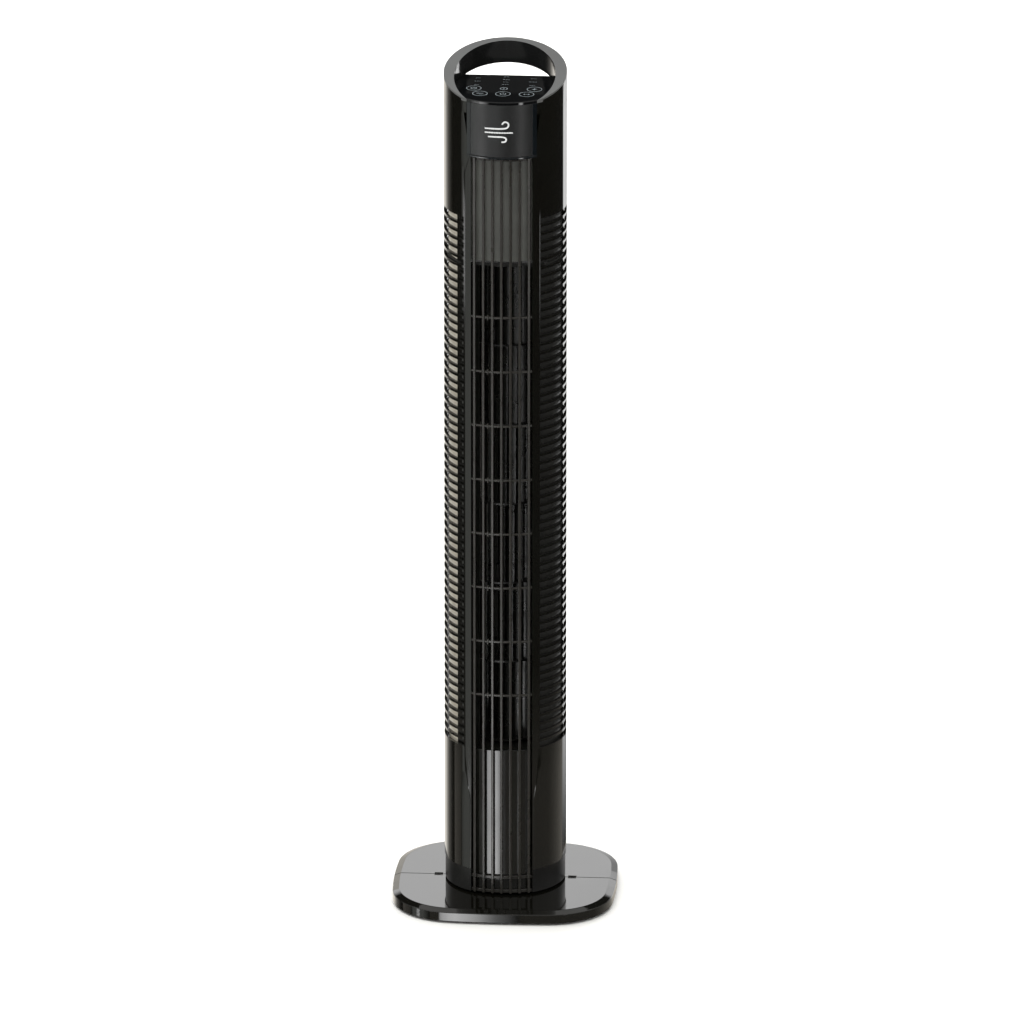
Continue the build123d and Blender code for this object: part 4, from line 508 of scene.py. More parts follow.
# ---------------------------------------------------------------- column
@dataclass
class ColumnShells:
    """The gloss front and rear mouldings of the column, with their side vents.

    Attributes:
        radius: Outside of the column.
        bottom: Lower edge of the shells.
        top: Upper edge of the shells.
        wall: Thickness of the mouldings.
        window_half: Half the width of the front window.
        bezel_half: Half the width of the window beside the display.
        window_top: Where the window widens for the bezel.
        return_y: Where the window's side walls end.
        shield_azimuth: Edge of the smooth strip beside the grille, where the vents start.
        shield_tip: Lower point of the strip.
        shield_head: Level where the strip starts to close above the vents.
        shield_sink: How far the strip lies below the column's surface.
        shield_slope: Azimuth over which it rises to that surface.
        vent_end: Azimuth where the front shell's vents end.
        split: Azimuth of the seam between the shells.
        seam_gap: Width of that seam.
        rear_vents: Azimuth spans of the rear shell's vents on one side.
        vent_bottom: Level where the vents start.
        vent_count: Number of vents, one above another.
        vent_pitch: Height from vent to vent.
        vent_bar: Height of the bar between two vents.
        step: Widest azimuth step of a face.
        edge_mm: Rounding of the bars and rims.
    """

    radius: float
    bottom: float
    top: float
    wall: float = 2.4 * MM
    window_half: float = 27.5 * MM
    bezel_half: float = 31.2 * MM
    window_top: float = 706.6 * MM
    return_y: float = -36.0 * MM
    shield_azimuth: float = 38.2
    shield_tip: float = 103.0 * MM
    shield_head: float = 690.0 * MM
    shield_sink: float = 0.45 * MM
    shield_slope: float = 0.9
    vent_end: float = 91.5
    split: float = 95.0
    seam_gap: float = 0.3 * MM
    rear_vents: tuple[tuple[float, float], ...] = ((99.0, 137.5), (139.5, 178.0))
    vent_bottom: float = 150.3 * MM
    vent_count: int = 63
    vent_pitch: float = 7.93 * MM
    vent_bar: float = 2.3 * MM
    step: float = 2.7
    edge_mm: float = 0.62

    def vent_edges(self) -> list[tuple[float, float]]:
        """Lower and upper level of each vent."""
        first = self.vent_bottom + self.vent_bar / 2
        slot = self.vent_pitch - self.vent_bar
        return [(first + i * self.vent_pitch, first + i * self.vent_pitch + slot)
                for i in range(self.vent_count)]

    def levels(self, extra: Iterable[float]) -> list[float]:
        """All levels of a shell's rows, from the bottom up."""
        vents = [z for pair in self.vent_edges() for z in pair]
        return sorted({self.bottom, self.top, *vents, *extra})

    def turn(self, bm: Mesh, run: list, angle: float) -> list:
        """Spins a run by an angle in steps no wider than the shell's own."""
        return sweep(bm, run, angle, max(1, round(abs(angle) / self.step)))

    def open_vents(self, bm: Mesh, spans: Iterable[tuple[float, float]]) -> None:
        """Removes the faces of every vent.

        Args:
            bm: The shell's sheet.
            spans: Azimuths between which the vents are open, either side of the front alike.
        """
        edges, spans, gone = self.vent_edges(), list(spans), []
        pitch, first = self.vent_pitch, self.vent_bottom
        for face in bm.faces:
            middle = face.calc_center_median()
            azimuth = azimuth_of(middle)
            index = int((middle.z - first) / pitch)
            if middle.z <= first or index >= self.vent_count:
                continue
            low, high = edges[index]
            if low < middle.z < high and any(a < azimuth < b for a, b in spans):
                gone.append(face)
        bmesh.ops.delete(bm, geom=gone, context="FACES")

    def shield_edge(self, z: float) -> float:
        """Azimuth of the smooth strip's outer edge at a level."""
        window = degrees(asin(self.window_half / self.radius)) + 1.2
        if z < self.vent_bottom:
            rise = max(0.0, (z - self.shield_tip) / (self.vent_bottom - self.shield_tip))
            return window + (self.shield_azimuth - window) * sin(rise * pi / 2)
        if z > self.shield_head:
            drop = min(1.0, (z - self.shield_head) / (self.window_top - self.shield_head))
            return self.shield_azimuth - (self.shield_azimuth - window) * drop
        return self.shield_azimuth

    def front(self, materials: Materials) -> bpy.types.Object:
        """Builds the front moulding: strips beside the window, its side walls and the vents."""
        bm = bmesh.new()
        window = degrees(asin(self.window_half / self.radius))
        bezel = degrees(asin(self.bezel_half / self.radius))
        tip_rows = [self.shield_tip + (self.vent_bottom - self.shield_tip) * i / 6 for i in range(7)]
        head_rows = [self.shield_head + (self.window_top - self.shield_head) * i / 3 for i in range(4)]
        rows = self.levels([*tip_rows, *head_rows])
        run = run_through(bm, [around(self.radius, window, z) for z in rows])
        returns = [e for e in run if isinstance(e, Edge)
                   and max(v.co.z for v in e.verts) < self.window_top + MM / 10]
        sunk = verts_of(run)
        for angle in (bezel - window, self.shield_azimuth - bezel - self.shield_slope):
            before = set(bm.verts)
            run = sweep(bm, run, angle, 2)
            sunk += [v for v in bm.verts if v not in before]
        before = set(bm.verts)
        run = self.turn(bm, run, self.shield_slope)
        edge = [v for v in bm.verts if v not in before]
        run = self.turn(bm, run, self.vent_end - self.shield_azimuth)
        self.turn(bm, run, self.split - self.vent_end)
        self.open_vents(bm, [(self.shield_azimuth, self.vent_end)])
        for vert in sunk + edge:
            azimuth = azimuth_of(vert.co)
            if vert.co.z < self.window_top + MM / 10:
                share = (azimuth - window) / (self.shield_azimuth - window)
                azimuth = window + share * (self.shield_edge(vert.co.z) - window)
            closed = self.shield_tip < vert.co.z < self.window_top
            radius = self.radius - (self.shield_sink if closed and vert not in edge else 0.0)
            vert.co = around(radius, azimuth, vert.co.z)
        gone = [f for f in bm.faces if f.calc_center_median().z > self.window_top
                and f.calc_center_median().x < self.bezel_half]
        bmesh.ops.delete(bm, geom=gone, context="FACES")
        walls = bmesh.ops.extrude_edge_only(bm, edges=returns)["geom"]
        for vert in verts_of(walls):
            vert.co.y = self.return_y
        face_outwards(bm)
        other = bmesh.ops.duplicate(bm, geom=[*bm.verts, *bm.edges, *bm.faces])["geom"]
        bmesh.ops.scale(bm, vec=(-1.0, 1.0, 1.0), verts=verts_of(other))
        bmesh.ops.reverse_faces(bm, faces=[f for f in other if isinstance(f, Face)])
        return self.thicken(bm, "front_shell_moulding", "front_shell", materials)

    def rear(self, materials: Materials) -> bpy.types.Object:
        """Builds the rear moulding with its four groups of vents."""
        bm = bmesh.new()
        start = self.split + degrees(self.seam_gap / self.radius)
        rows = self.levels([])
        run = run_through(bm, [around(self.radius, start, z) for z in rows])
        stops = sorted({a for span in self.rear_vents for a in span} | {180.0})
        stops += [360.0 - a for a in reversed(stops[:-1])] + [360.0 - start]
        here = start
        for stop in stops:
            run = self.turn(bm, run, stop - here)
            here = stop
        self.open_vents(bm, self.rear_vents)
        face_outwards(bm)
        return self.thicken(bm, "rear_shell_moulding", "rear_shell", materials)

    def thicken(self, bm: Mesh, name: str, source: str,
                materials: Materials) -> bpy.types.Object:
        """Gives a shell's sheet its wall and rounded edges, and returns the piece."""
        piece = place_piece(bm, name, Body.COLUMN, "gloss_shell", materials, [source])
        wall = piece.modifiers.new("wall", "SOLIDIFY")
        wall.thickness = self.wall
        wall.offset = -1.0
        wall.use_even_offset = True
        round_edges(piece, self.edge_mm, 3)
        return piece


# ---------------------------------------------------------------- grille
@dataclass
class Grille:
    """Upright ribs tied by thin rings over two closed plates.

    Attributes:
        half: Half the grille's width.
        foot_top: Top of the short lower piece.
        bottom: Lower edge of the long piece.
        top: Upper edge of the ribs.
        base: Lower edge of the short piece.
        face_radius: Radius of the face that the ribs' fronts lie on.
        centre_y: Where that radius is centred.
        rib_count: Number of ribs.
        rib_pitch: Distance from rib to rib.
        rib_width: Width of a rib.
        rib_depth: Depth of a rib.
        ring_first: Level of the lowest ring.
        ring_pitch: Height from ring to ring.
        ring_count: Number of rings.
        ring_height: Height of a ring.
        ring_depth: Depth of a ring.
        ring_set_back: How far the rings lie behind the ribs' fronts.
        rail_set_back: How far the end rails lie behind the ribs' fronts.
        rail_depth: Depth of an end rail.
        nub_rib: Place of the small lump on each ring, in rib pitches from the middle.
        nub_width: Width of the lump.
        nub_depth: Depth of the lump.
        nub_height: Height of the lump.
        nub_proud: How far it stands in front of the ring.
        rail_height: Height of the rails at the ends.
        plate_set_back: How far the plates lie behind the ribs' fronts.
        plate_thickness: Thickness of a plate.
        plate_tuck: How far a plate's ends tuck into the window's side walls.
    """

    half: float
    foot_top: float
    bottom: float
    top: float
    base: float
    front_y: float
    face_radius: float = 80.0 * MM
    rib_count: int = 7
    rib_pitch: float = 8.1 * MM
    rib_width: float = 2.2 * MM
    rib_depth: float = 4.0 * MM
    ring_first: float = 202.7 * MM
    ring_pitch: float = 50.73 * MM
    ring_count: int = 8
    ring_height: float = 2.0 * MM
    ring_depth: float = 2.0 * MM
    ring_set_back: float = 1.0 * MM
    rail_set_back: float = 2.4 * MM
    rail_depth: float = 2.4 * MM
    nub_rib: float = -1.5
    nub_width: float = 1.6 * MM
    nub_depth: float = 2.5 * MM
    nub_height: float = 5.0 * MM
    nub_proud: float = 0.5 * MM
    rail_height: float = 3.0 * MM
    plate_set_back: float = 5.0 * MM
    plate_thickness: float = 2.0 * MM
    plate_tuck: float = 0.7 * MM

    @property
    def centre(self) -> Vector:
        """Centre of the face's radius in plan."""
        return Vector((0.0, self.front_y + self.face_radius, 0.0))

    def face_y(self, x: float, set_back: float) -> float:
        """Depth of a surface behind the face, at a place across it."""
        return self.centre.y - sqrt((self.face_radius - set_back) ** 2 - x * x)

    def rib(self, bm: Mesh, x: float, low: float, high: float) -> None:
        """Adds one rib whose front follows the face."""
        middle = self.face_y(x, 0.0)
        verts = box_between(bm, Vector((x - self.rib_width / 2, middle, low)),
                            Vector((x + self.rib_width / 2, middle + self.rib_depth, high)))
        for vert in verts:
            front = vert.co.y < middle + self.rib_depth / 2
            vert.co.y = self.face_y(vert.co.x, 0.0 if front else self.rib_depth)

    def band(self, bm: Mesh, low: float, high: float, set_back: float, depth: float,
             tuck: float = 0.0) -> None:
        """Adds a curved bar or plate across the window.

        Args:
            bm: Mesh to add to.
            low: Lower level.
            high: Upper level.
            set_back: Distance of its front behind the ribs' fronts.
            depth: Its thickness.
            tuck: How far its ends tuck into the window's side walls.
        """
        outer = self.face_radius - set_back
        reach = degrees(asin((self.half + tuck) / outer))
        curved_bar(bm, (outer, outer - depth), (low, high), -reach, 2 * reach, 20, self.centre)

    def build(self, materials: Materials) -> None:
        """Builds the long piece, the short lower piece and the two plates."""
        places = [(i - (self.rib_count - 1) / 2) * self.rib_pitch for i in range(self.rib_count)]
        bm = bmesh.new()
        for x in places:
            self.rib(bm, x, self.bottom, self.top)
        for low in (self.bottom, self.top - self.rail_height):
            self.band(bm, low, low + self.rail_height, self.rail_set_back, self.rail_depth)
        for i in range(self.ring_count):
            z = self.ring_first + i * self.ring_pitch
            half = self.ring_height / 2
            self.band(bm, z - half, z + half, self.ring_set_back, self.ring_depth)
            x = self.nub_rib * self.rib_pitch
            y = self.face_y(x, self.ring_set_back) - self.nub_proud
            box_between(bm, Vector((x - self.nub_width / 2, y, z - self.nub_height / 2)),
                        Vector((x + self.nub_width / 2, y + self.nub_depth, z + self.nub_height / 2)))
        add_moulding(bm, "front_grille", "grille_plastic", 0.45, materials)
        bm = bmesh.new()
        for x in places:
            self.rib(bm, x, self.base, self.foot_top)
        self.band(bm, self.base, self.base + self.rail_height, self.rail_set_back, self.rail_depth)
        add_moulding(bm, "grille_foot", "grille_plastic", 0.45, materials)
        # The upper plate is the same moulding as the lower one, painted a lighter grey as painted sheen.
        for source, finish in (("lower_plate", "plate_gloss"), ("upper_plate", "plate_painted_sheen")):
            low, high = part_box(source)
            bm = bmesh.new()
            self.band(bm, low.z, high.z, self.plate_set_back, self.plate_thickness, self.plate_tuck)
            add_moulding(bm, source, "plate_gloss", 0.4, materials, finish=finish)


@dataclass
class SideLiners:
    """Closed walls behind the side vents: polished at the left with a cream part painted there as light seen
    through the vents, textured and sealed at the right.

    Attributes:
        inner: Inside radius of a wall.
        outer: Outside radius of a wall.
        seal: Outside radius of the right wall's lip.
        spans: Lower and upper level of each pair.
        start: Azimuth where a wall starts.
        end: Azimuth where it ends.
        lip: Azimuth that the lip takes.
        painted_light_start: Azimuth where the left wall's cream part, painted light, starts.
        step: Azimuth step of a face.
    """

    inner: float
    outer: float
    seal: float
    spans: Sequence[tuple[float, float]]
    start: float = 38.6
    end: float = 97.0
    lip: float = 3.0
    painted_light_start: float = 54.0
    step: float = 2.5

    def build(self, materials: Materials) -> None:
        """Builds both sides."""
        # The left wall's cream part is painted light seen through the vents; the right wall keeps the duct's
        # dark plastic.
        for name, finish, walls in (
            ("left_liner", "plate_gloss", [(self.outer, -self.start, -self.painted_light_start)]),
            ("left_liner_pale", "liner_pale", [(self.outer, -self.painted_light_start, -self.end)]),
            ("right_liner", "duct_plastic", [(self.outer, self.start, self.end),
                                             (self.seal, self.end - self.lip, self.end)]),
        ):
            bm = bmesh.new()
            for span in self.spans:
                for outer, start, end in walls:
                    steps = max(1, round(abs(end - start) / self.step))
                    curved_bar(bm, (outer, self.inner), span, start, end - start, steps)
            add_moulding(bm, "side_liners", "plate_gloss", 0.3, materials, name, finish)


@dataclass
class DisplayFront:
    """Satin window over the display, its gloss side bands and the lip below them.

    Attributes:
        radius: Radius of the window's face.
        low: Lower edge of the window.
        high: Upper edge of the window and bands.
        foot: Lower edge of the bands.
        half: Half the window's width.
        band_half: Half the width over the bands.
        thickness: Thickness of the mouldings.
        seam: Gap between window and bands.
        lip_height: Height of the lip below.
        lip_proud: How far the lip stands out.
        step: Azimuth step of a face.
    """

    radius: float
    low: float
    high: float
    foot: float
    half: float
    band_half: float
    thickness: float = 2.4 * MM
    seam: float = 0.1 * MM
    lip_height: float = 1.26 * MM
    lip_proud: float = 0.5 * MM
    step: float = 1.6

    def slab(self, bm: Mesh, x0: float, x1: float, low: float, high: float, proud: float = 0.0) -> None:
        """Adds a curved slab between two places across and two levels."""
        start, end = (degrees(asin(x / self.radius)) for x in (x0, x1))
        curved_bar(bm, (self.radius + proud, self.radius - self.thickness), (low, high), start, end - start,
                   max(2, round((end - start) / self.step)))

    def build(self, materials: Materials) -> None:
        """Builds the window and the bands round it."""
        bm = bmesh.new()
        self.slab(bm, -self.half, self.half, self.low, self.high)
        add_moulding(bm, "display_panel", "display_window", 0.3, materials)
        bm = bmesh.new()
        near = self.half + self.seam
        for x0, x1 in ((-self.band_half, -near), (near, self.band_half)):
            self.slab(bm, x0, x1, self.low - self.seam, self.high)
        lip = self.foot + self.lip_height
        self.slab(bm, -self.band_half, self.band_half, lip, self.low - self.seam)
        self.slab(bm, -self.band_half, self.band_half, self.foot, lip, self.lip_proud)
        add_moulding(bm, "display_bezel", "bezel_gloss", 0.25, materials)


# ---------------------------------------------------------------- print
@dataclass
class Print:
    """Thin printed lines on a surface.

    Attributes:
        name: Piece name.
        finish: Its ink.
        width_mm: Width of a line.
        film_mm: Thickness of the ink.
    """

    name: str
    finish: str
    width_mm: float
    film_mm: float = 0.03

    def build(self, strokes: Sequence[Stroke], onto: Callable[[float, float, float], Vector],
              materials: Materials) -> None:
        """Draws the strokes.

        Args:
            strokes: Control points across and up in millimetres, and whether each stroke closes.
            onto: Gives the place of a point across, up and out, in metres.
            materials: Built materials by slot.
        """
        curve = bpy.data.curves.new(self.name, "CURVE")
        curve.dimensions = "3D"
        curve.bevel_depth = self.width_mm / 2 * MM
        curve.bevel_resolution = 1
        curve.resolution_u = 6
        curve.use_fill_caps = True
        for points, closed in strokes:
            spline = curve.splines.new("NURBS")
            spline.points.add(len(points) - 1)
            for point, (x, y) in zip(spline.points, points):
                point.co = (x * MM, y * MM, 0.0, 1.0)
            spline.use_cyclic_u = closed
            spline.use_endpoint_u = not closed
            spline.order_u = 3
        drawn = bpy.data.objects.new(self.name + "_line", curve)
        bpy.context.scene.collection.objects.link(drawn)
        bpy.context.view_layer.update()
        bm = bmesh.new()
        mesh = bpy.data.meshes.new_from_object(drawn.evaluated_get(bpy.context.evaluated_depsgraph_get()))
        bm.from_mesh(mesh)
        bpy.data.objects.remove(drawn)
        bpy.data.meshes.remove(mesh)
        flat = self.film_mm / self.width_mm
        for vert in bm.verts:
            vert.co = onto(vert.co.x, vert.co.y, vert.co.z * flat)
        place_piece(bm, self.name, Body.COLUMN, self.finish, materials)


def ring_points(x: float, y: float, radius: float) -> Stroke:
    """Closed stroke for a circle, in millimetres."""
    reach = radius / 0.955  # a ring of twelve control points draws its curve a little inside them
    return ([(x + reach * cos(k * pi / 6), y + reach * sin(k * pi / 6)) for k in range(12)], True)


@dataclass
class TouchControls:
    """Printed touch rings, their generic signs and the indicator rows on the level panel.

    Attributes:
        surface: Level of the panel's face.
        ring_radius: Radius of a touch ring in millimetres.
    """

    surface: float
    ring_radius: float = 6.4

    def strokes(self) -> list[Stroke]:
        """All strokes across and back, in millimetres."""
        made = []
        rings = [(-26.8, -14.3, "arc"), (26.8, -14.3, "cross"), (-20.4, -29.1, "waves"),
                 (0.0, -29.1, "power"), (20.8, -29.1, "arrows")]
        for x, y, sign in rings:
            made.append(ring_points(x, y, self.ring_radius))
            made += self.sign(sign, x, y)
        made.append(ring_points(-0.3, -14.3, 3.1))
        made.append(([(-0.3, -15.8), (-0.3, -12.8)], False))
        rows = [(-25.0, (14.7, 5.8, -4.4), 2.6), (0.0, (19.5, 11.8, 4.8, -2.2), 2.9),
                (24.0, (15.5, 6.5, -4.0), 3.4)]
        for x, levels, reach in rows:
            for i, y in enumerate(levels):
                half = reach * (1.0 if i % 2 else 0.75)
                made += [([(x - half, y), (x - half * 0.35, y)], False),
                         ([(x - half * 0.1, y), (x + half * 0.4, y)], False),
                         ([(x + half * 0.65, y), (x + half, y)], False)]
        return made

    @staticmethod
    def sign(kind: str, x: float, y: float) -> list[Stroke]:
        """Strokes of one generic sign about its centre."""
        if kind == "power":
            arc = [(x + 2.6 * sin(a), y + 2.6 * cos(a)) for a in (0.7 + k * 0.61 for k in range(9))]
            return [(arc, False), ([(x, y + 0.4), (x, y + 3.4)], False)]
        if kind == "waves":
            return [([(x - 3, y + d), (x - 1, y + d + 1.1), (x + 1, y + d - 1.1), (x + 3, y + d)], False)
                    for d in (-1.4, 1.0)]
        if kind == "arrows":
            tips = [([(x + side * 1.6, y + 1.4), (x + side * 3, y), (x + side * 1.6, y - 1.4)], False)
                    for side in (-1, 1)]
            return [([(x - 3, y), (x + 3, y)], False), *tips]
        if kind == "cross":
            return [([(x - 2.4, y), (x + 2.4, y)], False), ([(x, y - 2.4), (x, y + 2.4)], False),
                    ([(x - 1.5, y - 1.5), (x + 1.5, y + 1.5)], False)]
        return [ring_points(x, y, 2.5), ([(x, y + 1.6), (x, y), (x + 1.4, y)], False)]

    def build(self, materials: Materials) -> None:
        """Prints the controls on the panel."""
        Print("panel_signs", "panel_ink", 0.55).build(
            self.strokes(), lambda x, y, out: Vector((x, y, self.surface + out)), materials)


@dataclass
class DisplayMark:
    """A generic airflow sign printed on the display: three lines of moving air.

    Attributes:
        radius: Radius of the display's face.
        centre_z: Level of the sign's middle.
        shift_mm: Place of the sign's middle across the face.
    """

    radius: float
    centre_z: float
    shift_mm: float = -2.6

    def onto(self, x: float, y: float, out: float) -> Vector:
        """Wraps a point of the flat drawing round the face."""
        return around(self.radius + out, degrees(x / self.radius), self.centre_z + y)

    def build(self, materials: Materials) -> None:
        """Prints the sign."""
        s = self.shift_mm
        strokes = [
            ([(s - 12, 2.5), (s - 4, 2.5), (s + 4, 2.5), (s + 9, 3.5), (s + 9.5, 8.0), (s + 5, 9.5),
              (s + 3.5, 6.5)], False),
            ([(s - 12, -1.2), (s, -1.2), (s + 13, -1.2)], False),
            ([(s - 9, -5.0), (s - 2, -5.0), (s + 5, -5.0), (s + 7.5, -6.5), (s + 6.5, -10.0),
              (s + 3, -9.6)], False),
        ]
        Print("airflow_sign", "mark_ink", 1.5).build(strokes, self.onto, materials)


# ---------------------------------------------------------------- studio
@dataclass
class Card:
    """A tall curved card that only reflections see, as a studio's strip lights and walls are.

    Attributes:
        name: Object name.
        profile: Azimuths from the camera's own, in rising order, each with its radiance.
        bottom: Lower edge.
        top: Upper edge.
        fade_bottom: Height over which it fades in from its lower edge.
        fade_top: Height over which it fades out to its upper edge.
        distance: Distance from the column's axis.
        tint: Its colour, sRGB hex.
        step: Azimuth step of a face.
    """

    name: str
    profile: Sequence[tuple[float, float]]
    bottom: float = -1.4
    top: float = 0.9
    fade_bottom: float = 0.0
    fade_top: float = 0.0
    distance: float = 2.9
    tint: str = "#ffffff"
    step: float = 1.5

    def radiance(self, azimuth: float) -> float:
        """Brightness at an azimuth from the camera's own, straight between the profile's points."""
        for (a, low), (b, high) in zip(self.profile, self.profile[1:]):
            if azimuth <= b:
                return low + (high - low) * max(0.0, (azimuth - a) / (b - a))
        return self.profile[-1][1]

    def rows(self) -> list[tuple[float, float]]:
        """Levels of the card, each with its share of the brightness."""
        rows = [(self.bottom, 0.0 if self.fade_bottom else 1.0)]
        if self.fade_bottom:
            rows.append((self.bottom + self.fade_bottom, 1.0))
        if self.fade_top:
            rows.append((self.top - self.fade_top, 1.0))
        rows.append((self.top, 0.0 if self.fade_top else 1.0))
        return rows

    def build(self) -> None:
        """Makes the card and hides it from everything but reflections."""
        bm = bmesh.new()
        glow = bm.verts.layers.float.new("glow")
        start, end = self.profile[0][0], self.profile[-1][0]
        rows = self.rows()
        steps = max(2, round((end - start) / self.step))
        run = run_through(bm, [around(self.distance, start + CAMERA_AZIMUTH, z) for z, _ in rows])
        for i in range(steps + 1):
            light = self.radiance(start + (end - start) * i / steps)
            ring = sorted(verts_of(run), key=lambda v: v.co.z)
            for vert, (_, share) in zip(ring, rows):
                vert[glow] = light * share
            if i < steps:
                run = sweep(bm, run, (end - start) / steps, 1)
        mesh = bpy.data.meshes.new(self.name)
        bm.to_mesh(mesh)
        bm.free()
        card = bpy.data.objects.new(self.name, mesh)
        bpy.context.scene.collection.objects.link(card)
        material = bpy.data.materials.new(self.name)
        material.use_nodes = True
        tree = material.node_tree
        tree.nodes.clear()
        amount = node(tree, "ShaderNodeAttribute", {"attribute_name": "glow"})
        lit = node(tree, "ShaderNodeEmission", {"Color": linear(self.tint)},
                   {"Strength": amount.outputs["Fac"]})
        node(tree, "ShaderNodeOutputMaterial", links={"Surface": lit.outputs["Emission"]})
        mesh.materials.append(material)
        card.visible_camera = card.visible_diffuse = card.visible_shadow = card.visible_transmission = False


@dataclass
class Studio:
    """Pale floor, soft light from above and behind, and the cards.

    Attributes:
        floor_size: Side of the floor.
        sky: Radiance of the pale walls and ceiling.
        below: Radiance that reflections find below the horizon.
    """

    floor_size: float = 40.0
    sky: float = 0.92
    below: float = 0.035

    def cards(self) -> list[Card]:
        """All the cards that the gloss mirrors."""
        return [
            Card("back_left_card", [(-180, 0.95), (-160, 1.5), (-152, 1.8), (-142, 1.1), (-134, 0.45),
                                    (-121, 0.08), (-112, 0.0)], tint="#fffaf0"),
            Card("back_right_card", [(137, 0.0), (139, 2.9), (150, 2.0), (164, 0.9), (180, 0.8)], -1.05,
                 fade_bottom=0.25),
            Card("left_card", [(-90, 0.0), (-84, 0.7), (-64, 0.8), (-50, 0.0)], tint="#fbfff8"),
            Card("front_left_strip", [(-34, 0.0), (-31, 5.0), (-26, 6.8), (-20, 7.5), (-16, 9.0), (-12, 6.0),
                                      (-9, 2.0), (-4, 0.0)], -1.4, -0.72, 0.0, 0.1),
            Card("edge_strip", [(-78, 0.0), (-75, 7.0), (-71, 7.0), (-69, 0.0)], -1.12, -0.95, 0.02, 0.02),
            Card("display_card", [(-70, 0.0), (-56, 4.6), (-44, 4.6), (-30, 0.0)], -0.42, 0.1, 0.05, 0.05),
            Card("handle_card", [(24, 0.0), (27, 6.0), (31, 6.0), (34, 0.0)], -0.42, 0.1, 0.05, 0.05),
            Card("table_glow", [(-180, 0.7), (-130, 0.7), (-90, 0.3), (90, 0.25), (120, 0.5), (180, 0.8)],
                 -1.45, -0.84, 0.0, 0.14, distance=3.0, tint="#f6efe2"),
            Card("back_wall", [(118, 0.0), (140, 1.9), (180, 2.25), (220, 1.9), (242, 0.0)],
                 0.3, 1.5, 0.25, 0.3, distance=3.0),
            Card("dark_flag", [(110, 0.02), (250, 0.02)], 1.45, 3.6, distance=3.1),
        ]

    def softbox(self, name: str, place: Vector, aim: Vector, width: float, height: float,
                power: float) -> None:
        """Adds a soft rectangular light that reflections don't see.

        Args:
            name: Light name.
            place: Its middle.
            aim: Point that it faces.
            width: Its width.
            height: Its height.
            power: Its power in watts.
        """
        data = bpy.data.lights.new(name, "AREA")
        data.shape = "RECTANGLE"
        data.size, data.size_y = width, height
        data.energy = power
        lamp = bpy.data.objects.new(name, data)
        bpy.context.scene.collection.objects.link(lamp)
        lamp.location = place
        lamp.rotation_euler = (aim - place).to_track_quat("-Z", "Y").to_euler()
        lamp.visible_camera = False
        lamp.visible_glossy = False

    def floor(self) -> None:
        """Makes the floor, which the cards stand in for in reflections."""
        white = Finish("White laminate, matt", "#f3f3f1", "#f1f1ef", 0.7, 0.02,
                       Grain.ERODED, 3.0, 0.004, 400.0)
        bm = bmesh.new()
        bmesh.ops.create_circle(bm, cap_ends=True, radius=self.floor_size / 2, segments=96)
        mesh = bpy.data.meshes.new("floor")
        bm.to_mesh(mesh)
        bm.free()
        made = bpy.data.objects.new("floor", mesh)
        bpy.context.scene.collection.objects.link(made)
        mesh.materials.append(white.build())
        made.visible_glossy = False

    def build(self) -> None:
        """Builds the floor, the light and the cards."""
        self.floor()
        self.world()
        self.softbox("top_softbox", Vector((-0.6, -0.2, 2.6)), Vector((0, 0, 0.3)), 1.8, 1.8, 38.0)
        self.softbox("back_softbox", Vector((0.2, 3.6, 1.75)), Vector((0, 0, 0.3)), 4.0, 1.7, 120.0)
        for card in self.cards():
            card.build()

    def world(self) -> None:
        """Lights the room: pale above the horizon, dim below it."""
        world = bpy.data.worlds.new("studio")
        bpy.context.scene.world = world
        world.use_nodes = True
        tree = world.node_tree
        tree.nodes.clear()
        way = node(tree, "ShaderNodeTexCoord").outputs["Generated"]
        height = node(tree, "ShaderNodeSeparateXYZ", links={"Vector": way}).outputs["Z"]
        level = node(tree, "ShaderNodeMapRange", {"From Min": -0.05, "From Max": 0.03, "To Min": self.below,
                                                 "To Max": self.sky}, {"Value": height})
        room = node(tree, "ShaderNodeBackground", {"Color": linear("#fffefb")},
                    {"Strength": level.outputs["Result"]})
        node(tree, "ShaderNodeOutputWorld", links={"Surface": room.outputs["Background"]})


@dataclass
class View:
    """The camera.

    Attributes:
        azimuth: Side that it stands on.
        elevation: Angle above the level.
        distance: Distance from the aim.
        lens: Focal length in millimetres on a 36 mm sensor.
        aim_right: How far right of the column's axis it aims.
        aim_height: Level that it aims at.
    """

    azimuth: float = CAMERA_AZIMUTH
    elevation: float = 19.5
    distance: float = 14.0
    lens: float = 552.8
    aim_right: float = 5.9 * MM
    aim_height: float = 358.5 * MM

    def build(self) -> None:
        """Places the camera and makes it the scene's."""
        data = bpy.data.cameras.new("camera")
        data.lens = self.lens
        data.sensor_width = 36.0
        data.clip_end = 100.0
        camera = bpy.data.objects.new("camera", data)
        bpy.context.scene.collection.objects.link(camera)
        away = around(cos(radians(self.elevation)), self.azimuth, sin(radians(self.elevation)))
        right = AXIS.cross(away).normalized()
        aim = Vector((0.0, 0.0, self.aim_height)) + right * self.aim_right
        camera.location = aim + away * self.distance
        camera.rotation_euler = (-away).to_track_quat("-Z", "Y").to_euler()
        bpy.context.scene.camera = camera


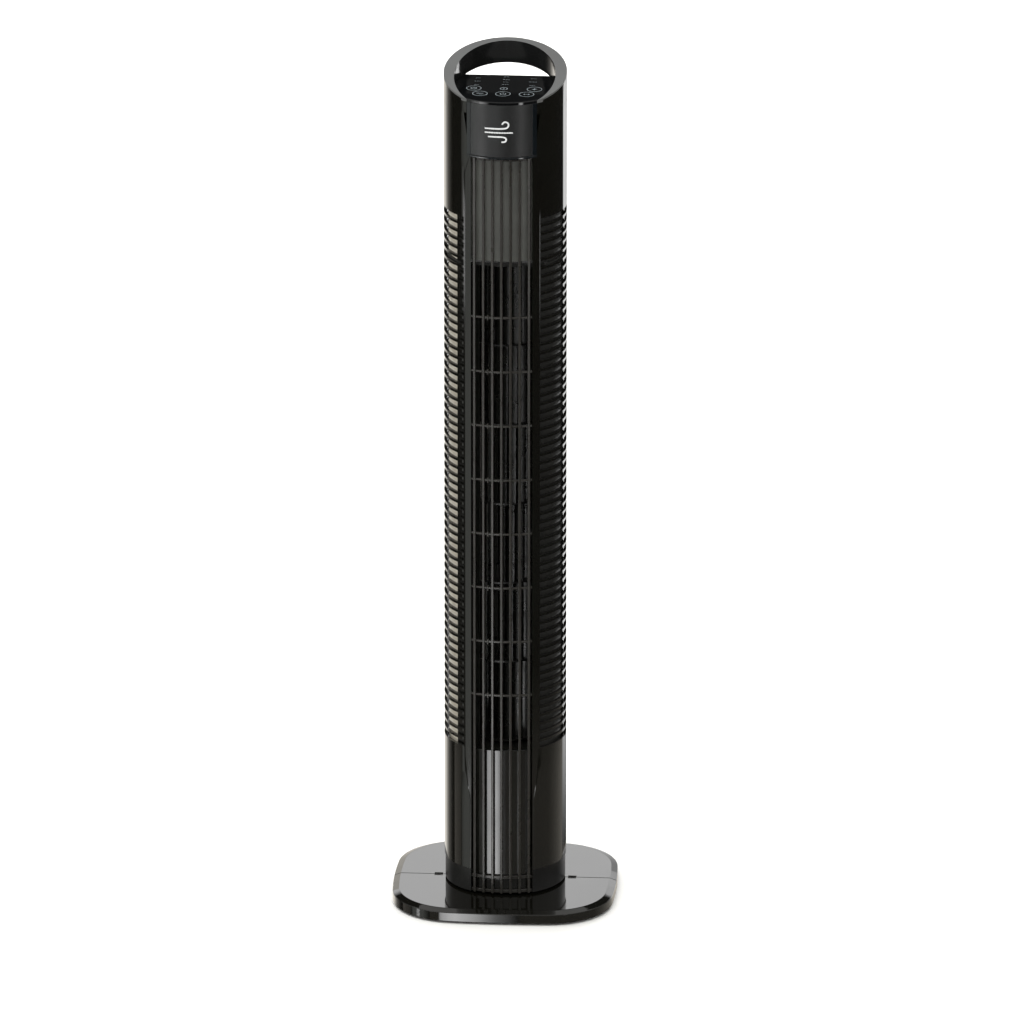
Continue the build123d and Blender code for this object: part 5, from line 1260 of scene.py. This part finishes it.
# ---------------------------------------------------------------- assembly
def dress_nodes(materials: Materials) -> None:
    """Gives every CAD node its material from the record's slot for it."""
    for name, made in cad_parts.items():
        slot = made.data.materials[0].name.split(".")[0]
        made.data.materials[0] = materials[slot]
        log.info("%s: %s", name, materials[slot].name)


def main() -> None:
    """Sets the studio, then builds the fan from its shells inwards."""
    logging.basicConfig(level=logging.INFO, format="%(message)s")
    for name in ("Camera", "Light", "Cube"):
        if name in bpy.data.objects:
            bpy.data.objects.remove(bpy.data.objects[name])
    bpy.context.scene.view_settings.view_transform = "Standard"
    View().build()
    Studio().build()
    materials = {slot: finish.build() for slot, finish in FINISHES.items()}
    dress_nodes(materials)

    low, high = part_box("front_shell")
    shells = ColumnShells(radius=high.x, bottom=low.z, top=high.z)
    shells.front(materials)
    shells.rear(materials)

    low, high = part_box("front_grille")
    foot_low, foot_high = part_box("grille_foot")
    Grille(half=high.x, foot_top=foot_high.z, bottom=low.z, top=high.z, base=foot_low.z,
           front_y=low.y).build(materials)

    low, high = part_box("side_liners")
    floor_top, ceiling_low, ceiling_top = (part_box("duct_floor")[1].z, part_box("duct_scroll")[1].z,
                                           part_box("duct_ceiling")[0].z + CEILING_THICKNESS)
    gap = low.z - floor_top
    SideLiners(inner=-low.x - LINER_WALL, outer=-low.x, seal=high.x,
               spans=((low.z, ceiling_low - gap), (ceiling_top + gap, high.z))).build(materials)

    low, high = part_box("display_panel")
    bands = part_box("display_bezel")
    DisplayFront(radius=-low.y, low=low.z, high=high.z, foot=bands[0].z, half=high.x,
                 band_half=bands[1].x).build(materials)
    DisplayMark(radius=-low.y, centre_z=(low.z + high.z) / 2).build(materials)

    for moulding in (
        Moulding("base_front_half", Body.BASE, "gloss_shell", 0.5),
        Moulding("base_rear_half", Body.BASE, "gloss_shell", 0.5),
        Moulding("bottom_collar", Body.COLUMN, "satin_collar"),
        Moulding("top_cap", Body.COLUMN, "gloss_shell"),
        # The ring's upright inner faces get a darker copy of its ABS: painted shade.
        Moulding("handle_ring", Body.COLUMN, "satin_ring", 0.4, inner_painted_shade_finish="ring_gloss_painted_shade"),
        Moulding("control_panel", Body.COLUMN, "panel_gloss", 0.2),
    ):
        moulding.build(materials)
    TouchControls(surface=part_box("control_panel")[1].z).build(materials)


if __name__ == "__main__":
    main()
